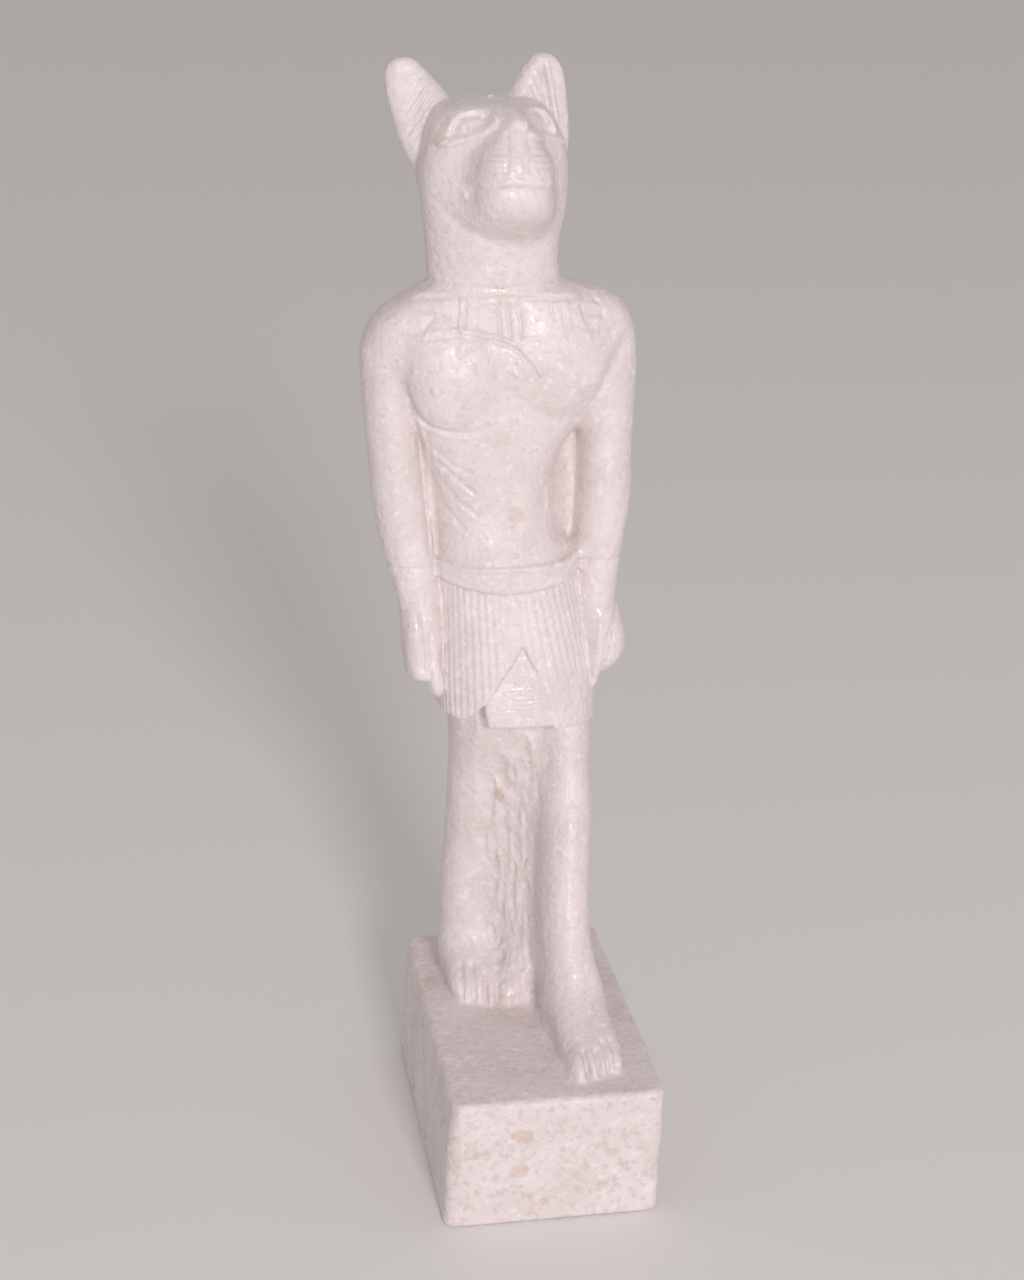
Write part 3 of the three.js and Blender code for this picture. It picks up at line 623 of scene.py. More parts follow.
# A breast is [x, away, level, (half width, half depth, half height)].
BREAST_RIGHT = (-12.8, 5.4, 182.6, (12.4, 6.4, 14))
BREAST_LEFT = (13.8, 6, 185.4, (13.4, 5.4, 14))
BREAST_CREASE = [
    (-22.9, 172.6),
    (-21, 170.9),
    (-18.7, 169.9),
    (-13.8, 168.6),
    (-8.8, 168.9),
    (-4.5, 170.6),
]
MIDLINE = [(2.4, 178), (1.6, 160), (1.4, 140)]
NAVEL = (1.4, 134.8)
LEFT_CREASE = [
    (8.6, 173.4),
    (13.4, 171.9),
    (17.8, 172.9),
    (21.8, 176.2),
    (25.6, 179.2),
    (28, 183.4),
    (31, 188),
    (33, 191),
]
RIGHT_CREASE = [
    (-24, 172.6),
    (-22.6, 168.8),
    (-21.6, 163),
    (-21.2, 154),
    (-21, 143),
    (-21, 134),
]
RIGHT_RIDGE = [(-22.4, 170.7), (-20.8, 164.5), (-20.1, 157.7), (-20, 150), (-19.9, 136)]
# Cut between arms and flanks after they are melted together, as points, width and height.
CREASES = [(LEFT_CREASE, 3.2, -0.6), (RIGHT_CREASE, 0.9, -0.4), (RIGHT_RIDGE, 1, 0.3)]
CREASES_LOW = 130
CREASES_HIGH = 196


def shifted(points, across, up):
    """A stroke's points moved sideways and up."""
    return [(x + across, level + up) for x, level in points]


def dot(place, radius, x, level):
    """A round soft hill, seen from the front: the bump of the distance from place."""
    return bump(np.hypot(x - place[0], level - place[1]) / radius)


def drawn(lines, x, level):
    """The sum of lines, each given as its points, its width and its height: below 0 for a cut,
    above it for a ridge."""
    return sum(height * stroke(points, width, x, level) for points, width, height in lines)


# The collar's cuts have worn wider than they were made, and its ridges too.
collar_lines = [(points, width * 1.15, -depth) for points, width, depth in COLLAR_GROOVES]
collar_lines += [(points, width * 1.1, height) for points, width, height in COLLAR_RIDGES]
torso_lines = [
    (BREAST_CREASE, 0.9, -0.5),
    (shifted(BREAST_CREASE[:-1], 0, -1.3), 1, 0.3),
    (MIDLINE, 2.4, -0.35),
]
for rib in RIB_STROKES:
    torso_lines += [(rib, 1.3, -0.5), (shifted(rib, 0.5, -1.2), 1.1, 0.25)]


def torso_relief(x, away, level):
    """Everything drawn on the front of the torso: the lines under the breast and of the ribs,
    the collar in a shaky hand, its drops, the pitted middle and the navel."""
    shaky_x = x + 0.3 * roughness(x, away, level, 2.2)
    shaky_level = level + 0.3 * roughness(x, away, level, 1.8)
    worn = COLLAR_STRENGTH * (1 + 0.5 * roughness(x, away, level, 3.1))
    out = drawn(torso_lines, x, level) + worn * drawn(collar_lines, shaky_x, shaky_level)
    for drop_x, drop_level in COLLAR_DROPS:
        far = np.hypot(x - drop_x, (level - drop_level) * 0.8)
        out += DROP_HEIGHT * bump(far / DROP_SIZE)
    out += 0.22 * stroke(MIDLINE, 5.5, x, level) * roughness(x, away, level, 1.4)
    out -= 0.8 * dot(NAVEL, 1.2, x, level)
    return out * smooth(TORSO_AWAY - 1, TORSO_AWAY - 4, away)


def flank_distance(x, away, level):
    """What lies behind an upright plane that slopes back from the belly's left side, between
    two levels and in the torso's front part."""
    x0, away0, slope = FLANK_SIDE
    plane = (away0 + slope * (x - x0) - away) * math.cos(math.atan(slope))
    ends = np.maximum(FLANK_LOW - level, level - FLANK_HIGH)
    sides = np.maximum(x0 - x, away - TORSO_AWAY - 6)
    return np.maximum(np.maximum(plane, ends), sides)


torso_skin = column(TORSO)
breasts = ((lump(*BREAST_RIGHT), 0.4), (lump(*BREAST_LEFT), 2.6))


def torso_distance(x, away, level):
    """The torso's skin with both breasts melted on, sharply below and softly above, and the
    lines cut into the result."""
    skin = torso_skin(x, away, level)
    for breast, sharp in breasts:
        skin = melt(skin, breast(x, away, level), sharp + 4.6 * smooth(173, 190, level))
    return skin - torso_relief(x, away, level)


carve(118, 208, 1.2, torso_distance)
carve(97, 186, 3, column(FLANK_SLAB))
carve(110, 180, 1.6, column(RIGHT_SLAB))
carve(FLANK_LOW, FLANK_HIGH, 2.4, flank_distance)

# Arms and fists.
# Both arms hang from sloping shoulders with the fists closed. A bracelet is marked by one line
# above the wrist and one at it.

RIGHT_ARM = [
    [203.5, -19.5, 16, 2.6, 5],
    [201, -22.6, 16, 5, 7],
    [197, -25.6, 16, 7.2, 8.6],
    [190, -28, 16, 8, 9.4],
    [178, -28.8, 16, 7.5, 9.2],
    [162, -28.7, 15.4, 7, 8.4],
    [148, -27.9, 14.4, 7.2, 7.8],
    [136, -26.4, 13.4, 7, 7.1],
    [124, -24.4, 12.2, 6.2, 6.4],
    [117, -23.6, 11.6, 5.8, 6.4],
    [110, -23.4, 11, 5.8, 6.8],
]
LEFT_ARM = [
    [203.5, 25, 16, 4, 5.5],
    [201, 27.2, 16, 5.8, 7.4],
    [197, 28.6, 16, 7.2, 8.8],
    [190, 29.2, 16, 8.2, 9.4],
    [178, 29.6, 16, 7.7, 9.2],
    [162, 28.9, 15.4, 7, 8.4],
    [148, 28.2, 14.4, 7.1, 7.8],
    [134, 26, 13.2, 6.5, 7],
    [124, 24.6, 12.2, 6.1, 6.4],
    [117, 23.6, 11.6, 5.8, 6.4],
    [110, 23.4, 11, 5.8, 6.8],
]
RIGHT_FIST = [
    [121, -23.4, 11.8, 4.8, 5.6],
    [117, -23.8, 11.2, 5.1, 6.8, 2.4],
    [110, -24, 10.6, 5.3, 8, 2.8],
    [103.5, -24, 10.2, 5.2, 8.4, 2.8],
    [101, -24, 10, 4.9, 8, 2.6],
    [99.8, -24, 10, 4, 6.6, 2.4],
]
# Thumb, finger and heel of the hand are eggs like the breasts, with a tilt in degrees.
RIGHT_THUMB = (-21.4, 4.4, 100.4, (2.4, 3.4, 5.6), 8)
RIGHT_FINGER = (-20.6, 7, 98.4, (2.2, 5, 3.6), 0)
LEFT_FIST = [
    [120.5, 23.8, 11.8, 5, 5.8],
    [116.5, 25, 11.2, 5.6, 6.8, 2.3],
    [111, 26, 10.6, 6.1, 8, 2.4],
    [105.4, 25.8, 10.2, 6, 8.4, 2.4],
    [102.2, 24.8, 10, 4.8, 8, 2.3],
    [100.2, 24.4, 10, 3.4, 6.4, 2.2],
]
LEFT_HEEL = (23.4, 7.4, 106, (2.4, 5.6, 12), -7)
FIST_FOLDS = [
    ([(29.8, 118), (28.2, 115), (26.2, 109.4), (24.6, 103), (23, 96)], 1, -0.8),
    ([(-25.4, 119), (-24.6, 111), (-24.8, 104)], 1.1, -0.48),
    ([(-22.4, 113), (-22.2, 107), (-23, 101)], 1.1, -0.48),
]
FINGER = 4.2  # from the middle of one finger to the next
FINGER_FURROW = 0.9
FINGER_DEPTH = 0.55
# A bracelet line is [level, depth].
BRACELET_LINES = [(131, 0.4), (118.4, 0.7)]
BRACELET_WIDTH = 0.6


def arm_relief(x, away, level, angle):
    """Two narrow rings cut round the forearm."""
    return -sum(depth * bump((level - ring) / BRACELET_WIDTH) for ring, depth in BRACELET_LINES)


def finger_relief(x, away, level, angle):
    """Finger furrows down the outer side of a fist, and the folds in front of it."""
    outward = smooth(24.5, 26.5, np.abs(x)) * smooth(114, 110, level) * smooth(6, 8, away)
    furrows = bump((np.mod(away - 6, FINGER) - FINGER / 2) / FINGER_FURROW)
    folds = drawn(FIST_FOLDS, x, level) * smooth(11, 7, away)
    return folds - FINGER_DEPTH * outward * furrows


def right_arm_blend(level):
    """The arm is one with the shoulder above the armpit, and a crease parts them below it."""
    return 1.0 + 4 * smooth(172, 190, level)


def left_arm_blend(level):
    """As the right arm's, but the arm runs softly into the flank beside it."""
    return right_arm_blend(level) + 5 * smooth(128, 134, level) * smooth(182, 172, level)


carve(110, 203.5, right_arm_blend, column(RIGHT_ARM, relief=arm_relief))
carve(110, 203.5, left_arm_blend, column(LEFT_ARM, relief=arm_relief))
carve(99, 121, 1.5, column(RIGHT_FIST, relief=finger_relief))
carve(99, 121, 1.5, column(LEFT_FIST, relief=finger_relief))
carve(94, 107, 0.8, lump(*RIGHT_THUMB))
carve(94, 103, 0.6, lump(*RIGHT_FINGER))
carve(93, 119, 0.6, lump(*LEFT_HEEL))

# Neck, head and ears.
# A thick neck runs straight into a flat-topped skull. The tall ears are hollowed in front: the
# right one ribbed across, the left one fluted lengthways inside a thick outer rim.

HEAD = [
    [203, 0, 16, 17.4, 12.8, 2.1],
    [206.5, -0.2, 15.5, 17.6, 13, 2.1],
    [213, -0.6, 15, 17.3, 13.2, 2.1],
    [219, -0.4, 14.5, 17.8, 13.8, 2.1],
    [226, 0.1, 13.5, 18.8, 15, 2.2],
    [233, 0.1, 13, 19.3, 15.6, 2.3],
    [240, 0.2, 13, 19, 15.6, 2.3],
    [244.4, 0.2, 13.4, 18.1, 15.5, 2.3],
    [248.2, 0.2, 13.8, 16.8, 15, 2.3],
    [250.8, 0.1, 14.4, 14.9, 14, 2.2],
    [252.4, 0, 15.2, 12.4, 12, 2.1],
    [253.3, 0, 16, 7.4, 7.4, 2],
    [253.6, 0, 16, 1, 1, 2],
]
RIGHT_EAR = [
    [228, -14.4, 20, 3, 4],
    [235, -15.4, 20.5, 4.6, 5.4],
    [241, -16.5, 21, 6, 6],
    [247, -16.7, 21.5, 7.4, 6],
    [252, -17, 22, 8.2, 5.4],
    [257, -19.1, 22.5, 6.6, 4.4],
    [260, -20.2, 23, 5, 3.2],
    [262, -20.5, 23, 3.1, 2],
    [262.9, -20.4, 23, 1.2, 0.8],
]
LEFT_EAR = [
    [228, 14.6, 20, 3.6, 4],
    [235, 15.2, 20.5, 5.4, 5.4],
    [241, 15.2, 21, 6.2, 6],
    [247, 14.5, 21.5, 7.2, 6],
    [252, 13.6, 22, 8, 5.4],
    [257, 14.6, 22.5, 6.5, 4.4],
    [260.4, 15.4, 23, 4.8, 3.3],
    [262.6, 15.6, 23, 2.9, 2],
    [263.5, 15.6, 23, 1, 0.7],
]
RIGHT_EAR_HOLLOW = 1.3
RIGHT_EAR_RIB = 1.75
LEFT_EAR_HOLLOW = 2.4
LEFT_EAR_FLUTE = 2.1
NECK_LINES = [
    ([(-18, 207.6), (0, 206.8), (18, 207.2)], 0.9, -0.35),
    ([(-15.5, 229), (-13.4, 226.6), (-9.7, 223), (-2.3, 220), (4, 219)], 2.2, -0.25),
]
EAR_SEAMS = [
    ([(-9.9, 253), (-13.3, 252.1), (-16.3, 248.7), (-17.9, 244.1), (-18.9, 240)], 1.4, 0.8),
    ([(5.3, 253.3), (10.5, 253.4), (14.7, 252.3), (17, 248.6), (18.8, 244)], 1.1, 0.8),
]
# The lids' raised edges: the right eye's upper and lower, then the left eye's.
RIGHT_UPPER = [
    (-14.6, 244.2),
    (-13, 246.7),
    (-11, 250),
    (-9.4, 251.6),
    (-6, 252.1),
    (-2.4, 251.9),
    (-1.2, 251),
]
RIGHT_LOWER = [
    (-1.2, 251),
    (-1.4, 249.8),
    (-4.6, 247.5),
    (-7.8, 245.8),
    (-11.4, 244.8),
    (-14.6, 244.2),
]
LEFT_UPPER = [
    (6, 249.2),
    (6.4, 251),
    (7.8, 252.2),
    (10.4, 252.4),
    (12.8, 251.2),
    (14.2, 249.2),
    (15, 246.6),
]
LEFT_LOWER = [(7.6, 247.6), (9.3, 246.6), (11.6, 245.6), (15.3, 244.5), (17.4, 243.6)]
LIDS = [
    (RIGHT_UPPER, 1.6, 1),
    (RIGHT_LOWER, 1.6, 1),
    (LEFT_UPPER, 1.4, 1.1),
    (LEFT_LOWER, 1.4, 1.1),
]
# An eye's bed and eyeball: x and level of the middle, half width, half height and tilt.
RIGHT_EYE = ((-7, 248.9, 6, 2.7, 27), (-7.4, 248.4, 4.2, 2.1, 20))
LEFT_EYE = ((10, 249, 4, 3.2, -10), (9.6, 248.8, 3.1, 2.5, 0))
RIGHT_PUPIL = (-8, 248.1)


def egg(place, x, level):
    """How far inside a leaning ellipse a point is, seen from the front: 1 at its middle and 0
    at its rim and beyond."""
    middle_x, middle_level, half_width, half_height, tilt = place
    a, b = turned(x - middle_x, level - middle_level, math.radians(tilt))
    return np.clip(1 - (a / half_width) ** 2 - (b / half_height) ** 2, 0, 1)


def eye_relief(x, level):
    """The eyes: lids raised round a sunken bed, in which a domed eyeball sits, the right one
    with a drilled pupil."""
    out = drawn(LIDS, x, level) - 1.1 * dot(RIGHT_PUPIL, 0.75, x, level)
    for bed, eyeball in (RIGHT_EYE, LEFT_EYE):
        out -= smooth(0, 0.7, egg(bed, x, level))
        out += 1.4 * egg(eyeball, x, level) ** 0.75
    return out


def ear_hollow(side, level, angle):
    """How deep the ear is hollowed, from 0 to 1: deepest straight ahead, dying away round the
    ear, towards its root and just under its tip."""
    facing = angle - math.radians(-90 + side * 14)
    facing = np.arctan2(np.sin(facing), np.cos(facing))
    return smooth(236, 246, level) * smooth(263, 257.5, level) * bump(facing / 1.15)


def right_ear_relief(x, away, level, angle):
    """A shallow hollow, with ribs that slant up towards the skull over its inner part."""
    hollow = ear_hollow(-1, level, angle)
    shaky = 0.5 * roughness(x, away, level, 2.4)
    ribs = np.sin((0.8 * x - 0.6 * level + shaky) * 2 * math.pi / RIGHT_EAR_RIB)
    inner = smooth(-20.8, -17.8, x - 0.25 * (level - 250)) * smooth(240, 246, level)
    return 0.42 * ribs * smooth(0.02, 0.25, hollow) * inner - RIGHT_EAR_HOLLOW * hollow


def left_ear_relief(x, away, level, angle):
    """A hollow with flutes that run down and outwards, inside a thick outer rim."""
    hollow = ear_hollow(1, level, angle)
    flutes = np.sin((x + 0.45 * (level - 250)) * 2 * math.pi / LEFT_EAR_FLUTE)
    lean = x + 0.12 * (level - 250)
    flutes = 0.32 * flutes * smooth(0.05, 0.4, hollow) * smooth(16, 15, lean)
    rim = 1.5 * bump((lean - 17.6) / 1.3) - 0.6 * bump((lean - 16) / 0.9)
    return flutes + hollow * (rim * smooth(243, 247, level) - LEFT_EAR_HOLLOW)


head_skin = column(HEAD)
carve(228, 263, 1.2, column(RIGHT_EAR, relief=right_ear_relief))
carve(228, 263.5, 1.2, column(LEFT_EAR, relief=left_ear_relief))

# Face.
# A blunt wedge of a muzzle stands forward of the face, joined to the brow by a narrow bridge.
# Its flat front has a bar of a nose between two grooves and short whisker cuts on both sides,
# over a mouth that turns down at its right corner and a bowl of a chin.

MUZZLE = [
    [217.6, 1.4, 9.6, 7, 7, 2],
    [220, 1.2, 8, 9.6, 9, 2],
    [222.4, 0.9, 6, 10.8, 10.6, 2.1],
    [224.6, 0.7, 4.4, 11.2, 12.4, 2.2],
    [227, 0.6, 3, 11.4, 13.8, 2.3],
    [229.6, 0.5, 2.2, 11.4, 14.4, 2.4],
    [232, 0.4, 2, 11.2, 14.6, 2.5],
    [234.4, 0.3, 2, 10.6, 14.2, 2.8],
    [238, 0.2, 2, 10.4, 14.5, 3],
    [241.6, 0, 2, 9.4, 13.3, 3],
    [245, 0, 2.4, 7.5, 11.7, 2.8],
    [248.6, 0, 3, 5, 10.3, 2.5],
    [251, 0, 3.4, 2.6, 9, 2.2],
    [252, 0, 4, 1, 7, 2],
]
# The bridge lies along away, so its rows are [away, x, level, half width, half height].
BRIDGE = [
    [-6.4, 0, 249, 1.2, 1.6],
    [-4, 0, 249.2, 1.8, 2.3],
    [0, -0.6, 249.6, 2.6, 2.8],
    [5, -1.4, 249.8, 4, 3],
]
FACE_TURN = math.radians(5)
FACE_ROLL = math.radians(4)
FACE_ACROSS = 1.1
HEAD_AXIS_AWAY = 14
MOUTH = 235
MOUTH_LINE = [
    (-9.6, 231.8),
    (-7.4, 232.9),
    (-4.4, 233.7),
    (-0.7, 234),
    (4.7, 234.2),
    (8, 234),
    (11.8, 233.6),
]
# The mouth, the grooves on both sides of the nose, and the crest between them.
MUZZLE_LINES = [
    (MOUTH_LINE, 1.8, -0.18),
    ([(1, 247.4), (0.7, 244.3), (0.3, 240.9), (-0.3, 238.7)], 1, -0.5),
    ([(6, 246), (6.4, 243.2), (6.2, 240.7), (5.8, 238.6)], 1, -0.5),
    ([(3.8, 249.6), (4, 247), (3.8, 243.6), (3.4, 239.6)], 1.2, 0.2),
]
WHISKER_CUTS = [
    [(-4.2, 242.6), (-0.7, 242.8)],
    [(-5, 241.3), (-0.8, 241.5)],
    [(-6, 239.9), (-1, 240.1)],
    [(-6.6, 238.5), (-1.2, 238.8)],
    [(7.6, 242.6), (10.4, 242.2)],
    [(7.4, 241.2), (11, 240.6)],
    [(7.2, 239.8), (11.4, 239)],
]
WHISKER_WIDTH = 0.75
WHISKER_DEPTH = 0.55
LIP_LINE = [
    (-8, 235.6),
    (-4.6, 235.4),
    (-1.6, 235.8),
    (1.4, 236.4),
    (5, 235.9),
    (8, 235.7),
    (11.4, 234.8),
]
MOUTH_CORNER = (-9.8, 231.8)
CHEEK_HOLLOW = ([(-2.4, 250), (-5.4, 246), (-9.4, 241), (-12.8, 236), (-14, 231)], 4.4, -0.5)
FACE_LOW = 228  # no line of the face is drawn below this level


def face_place(x, away, level):
    """Into the face's own coordinates: turned and rolled about the head's axis at the mouth."""
    a, b = turned(x - FACE_ACROSS, away - HEAD_AXIS_AWAY, FACE_TURN)
    a, c = turned(a, level - MOUTH, -FACE_ROLL)
    return a, b + HEAD_AXIS_AWAY, c + MOUTH


muzzle_skin = column(MUZZLE)
bridge_skin = column(BRIDGE, lying=True)


def face_relief(x, away, level):
    """The lines cut into the muzzle: nose, whiskers and mouth, with a bead at the mouth's
    right corner, seen from the front."""
    uneven = 0.6 + 0.36 * roughness(x, away, level, 1.7)
    out = drawn(MUZZLE_LINES, x, level) + uneven * stroke(LIP_LINE, 1.6, x, level)
    whiskers = sum(stroke(cut, WHISKER_WIDTH, x, level) for cut in WHISKER_CUTS)
    out -= WHISKER_DEPTH * whiskers * smooth(-6, -9.5, away)
    return out + 0.8 * dot(MOUTH_CORNER, 1.3, x, level)


def head_distance(x, away, level):
    """Neck and skull with the muzzle and its bridge melted on: widely beside the muzzle, so
    that its flanks slope, and under the chin. The lines are cut into the result."""
    place = face_place(x, away, level)
    muzzle = melt(muzzle_skin(*place), bridge_skin(*place), 1.6)
    spread = 2.6 + 1.8 * smooth(221, 228, level) + 0.8 * smooth(236, 241, level)
    skin = melt(head_skin(x, away, level), muzzle, spread)
    front = smooth(TORSO_AWAY + 1, TORSO_AWAY - 4, away)
    lines = drawn(NECK_LINES + [CHEEK_HOLLOW], x, level)
    if level.max() > FACE_LOW:
        lines = lines + eye_relief(x, level) + face_relief(x, away, level) * smooth(0, -4, away)
    return skin - lines * front + drawn(EAR_SEAMS, x, level) * smooth(24, 20, away)


carve(203, 256, 1.2, head_distance)

# The finished surface.
# Seen as a whole, the stone is rubbed smooth with grit and then polished, so every edge is soft
# and broad faces ripple slightly. The mesh is found on a fine grid and pulled onto the surface.

STEP = 0.42
BLOCK = 8  # grid points along a block of the grid
PARTS = 160  # slices by height in which points are pulled on, so that few forms matter to each
SKIN = 1.5  # how near the surface ripples, pits and wear are worked out
FORM_MARGIN = 8  # how far above and below itself a form still matters
MOST_TRIANGLES = 196000
RIPPLE = 0.08
RIPPLE_SIZE = 6.5
PITS = 0.2
PIT_SIZE = 1.9


def stone_distance(x, y, z):
    """Distance to the whole carving, in the frame's millimetres. Only the forms whose levels
    come near these points are worked out, and noise only close to the surface."""
    level = (z - PLINTH_HEIGHT) / SCALE
    across = (x - FIGURE_OFFSET[0] + math.tan(LEAN) * (z - PLINTH_HEIGHT)) / SCALE
    away = (y - FIGURE_OFFSET[1]) / SCALE
    lowest, highest = level.min(), level.max()
    figure = np.full(x.shape, FAR)
    for low, high, blend, distance in forms:
        if lowest > high + FORM_MARGIN or highest < low - FORM_MARGIN:
            continue
        width = blend(level) if callable(blend) else blend
        figure = melt(figure, distance(across, away, level) * SCALE, width)
    if lowest < CREASES_HIGH and highest > CREASES_LOW:
        figure = figure - smooth(17, 12, away) * drawn(CREASES, across, level)
    near = np.abs(figure) < SKIN
    if near.any():
        where = (x[near], y[near], z[near])
        figure[near] += RIPPLE * (1 + roughness(*where, RIPPLE_SIZE))
        figure[near] += PITS * smooth(0.45, 0.8, roughness(*where, PIT_SIZE))
    out = plinth_distance(x, y, z)
    near = np.abs(out) < SKIN
    if near.any():
        out[near] += plinth_wear(x[near], y[near], z[near])
    # The fillet is wider beside the left foot, in front of the web.
    fillet = 1.6 + 3.4 * bump((x - 3) / 6) * smooth(8, 2, y) * smooth(-40, -30, y)
    return melt(out, figure, fillet)


def grid_distance():
    """The distance on every grid point near the surface. Blocks of the grid whose middle is
    further off than a block reaches are filled with the middle's sign alone."""
    low = block_low - 2 * STEP
    high = block_high + 2 * STEP
    count = np.ceil((high - low) / (STEP * BLOCK)).astype(int)
    axes = [low[k] + STEP * np.arange(count[k] * BLOCK) for k in range(3)]
    middles = [low[k] + STEP * (np.arange(count[k]) * BLOCK + (BLOCK - 1) / 2) for k in range(3)]
    y, x = np.meshgrid(middles[1], middles[0], indexing="ij")
    coarse = np.empty((count[2], *x.shape))
    for k, level in enumerate(middles[2]):
        layer = stone_distance(x.ravel(), y.ravel(), np.full(x.size, level))
        coarse[k] = layer.reshape(x.shape)
    half_diagonal = STEP * BLOCK * 0.87  # 0.87 is half the root of 3, rounded up
    near = np.abs(coarse) < half_diagonal + SKIN
    for axis in range(3):
        after = tuple(slice(1, None) if n == axis else slice(None) for n in range(3))
        before = tuple(slice(0, -1) if n == axis else slice(None) for n in range(3))
        differ = (coarse[after] > 0) != (coarse[before] > 0)
        near[after] |= differ
        near[before] |= differ
    values = np.where(coarse > 0, 9.0, -9.0).astype(np.float32)
    for axis in range(3):
        values = np.repeat(values, BLOCK, axis=axis)
    for k in range(count[2]):
        mask = np.repeat(np.repeat(near[k], BLOCK, axis=0), BLOCK, axis=1)
        j, i = np.nonzero(mask)
        for step in range(BLOCK):
            layer = k * BLOCK + step
            z = np.full(i.size, axes[2][layer])
            values[layer, j, i] = stone_distance(axes[0][i], axes[1][j], z)
    return low, values


def surface_net(low, values):
    """One vertex in each grid cell that the surface crosses, at the mean of its edges'
    crossings, and one four-cornered face round each grid edge that the surface crosses."""
    inside = values < 0
    depth, height, width = values.shape
    cells = (depth - 1, height - 1, width - 1)
    corners = [(dz, dy, dx) for dz in (0, 1) for dy in (0, 1) for dx in (0, 1)]
    total = np.zeros(cells, np.int8)
    for dz, dy, dx in corners:
        total += inside[dz : dz + cells[0], dy : dy + cells[1], dx : dx + cells[2]]
    k, j, i = np.nonzero((total > 0) & (total < 8))
    number = np.full(cells, -1, np.int32)
    number[k, j, i] = np.arange(k.size)
    sums = np.zeros((k.size, 3))
    hits = np.zeros(k.size)
    for a in corners:
        for axis in range(3):
            if a[axis]:
                continue
            b = tuple(v + (n == axis) for n, v in enumerate(a))
            va = values[k + a[0], j + a[1], i + a[2]]
            vb = values[k + b[0], j + b[1], i + b[2]]
            cross = (va < 0) != (vb < 0)
            share = np.where(cross, va / np.where(va == vb, 1, va - vb), 0)
            for n in range(3):
                sums[:, 2 - n] += cross * (a[n] + (share if n == axis else 0))
            hits += cross
    points = low + STEP * (np.stack([i, j, k], 1) + sums / hits[:, None])
    faces = []
    for axis in range(3):
        a = inside[tuple(slice(int(n != axis), -1) for n in range(3))]
        b = inside[tuple(slice(1, None if n == axis else -1) for n in range(3))]
        edge = np.array(np.nonzero(a != b)).T
        starts_inside = a[tuple(edge.T)]
        edge = edge + [0 if n == axis else 1 for n in range(3)]
        u, v = [n for n in range(3) if n != axis]
        ring = []
        for du, dv in ((1, 1), (0, 1), (0, 0), (1, 0)):
            cell = edge.copy()
            cell[:, u] -= du
            cell[:, v] -= dv
            ring.append(number[tuple(cell.T)])
        ring = np.stack(ring, 1)
        wrong = starts_inside if axis != 1 else ~starts_inside
        ring[wrong] = ring[wrong][:, ::-1]
        faces.append(ring)
    return points, np.vstack(faces)


def pulled_on(points, rounds=2, nudge=0.12):
    """Moves points onto the surface: back along the gradient, taken from four nearby
    distances, by the distance over the gradient's length, and by at most 0.4 of a grid step a
    round."""
    corners = np.array([[1, 1, 1], [1, -1, -1], [-1, 1, -1], [-1, -1, 1]], float)
    order = np.argsort(points[:, 2], kind="stable")
    out = points.copy()
    for part in np.array_split(order, PARTS):
        p = out[part]
        for _ in range(rounds):
            ahead = [stone_distance(*(p + nudge * c).T) for c in corners]
            here = sum(ahead) / 4
            slope = sum(d[:, None] * c for d, c in zip(ahead, corners)) / (4 * nudge)
            size = np.linalg.norm(slope, axis=1)[:, None] + TINY
            move = slope / size * np.clip(here[:, None] / size, -0.4 * STEP, 0.4 * STEP)
            p = p - move
        out[part] = p
    return out


def without_folds(mesh):
    """Drops each pair of faces that lie back to back on the same corners."""
    skin = bmesh.new()
    skin.from_mesh(mesh)
    by_corners = {}
    for face in skin.faces:
        by_corners.setdefault(frozenset(face.verts), []).append(face)
    folded = [face for group in by_corners.values() if len(group) > 1 for face in group]
    bmesh.ops.delete(skin, geom=folded, context="FACES")
    skin.to_mesh(mesh)
    skin.free()


low, values = grid_distance()
points, faces = surface_net(low, values)
points = pulled_on(points)
points = np.clip(points, block_low, block_high)
statue_mesh = bpy.data.meshes.new("cat_goddess")
statue_mesh.vertices.add(len(points))
statue_mesh.vertices.foreach_set("co", (points * MM).astype(np.float32).ravel())
statue_mesh.loops.add(faces.size)
statue_mesh.loops.foreach_set("vertex_index", faces.astype(np.int32).ravel())
statue_mesh.polygons.add(len(faces))
statue_mesh.polygons.foreach_set("loop_start", np.arange(len(faces), dtype=np.int32) * 4)
statue_mesh.update(calc_edges=True)
statue_mesh.validate()
statue = bpy.data.objects.new("cat_goddess", statue_mesh)
bpy.context.scene.collection.objects.link(statue)
if len(faces) * 2 > MOST_TRIANGLES:
    thinner = statue.modifiers.new("thinner", "DECIMATE")
    thinner.ratio = MOST_TRIANGLES / (len(faces) * 2)
    thinned = bpy.data.meshes.new_from_object(
        statue.evaluated_get(bpy.context.evaluated_depsgraph_get())
    )
    without_folds(thinned)
    statue.modifiers.clear()
    statue.data = thinned
statue.data.polygons.foreach_set("use_smooth", np.ones(len(statue.data.polygons), bool))
statue.data.update()
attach(statue, "root")
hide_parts(NODE)

# The stone.
# A dense off-white stone with a pinkish cast, full of small grey flecks, with a few beige
# angular inclusions, waxy and slightly translucent, under a glossy hand polish.


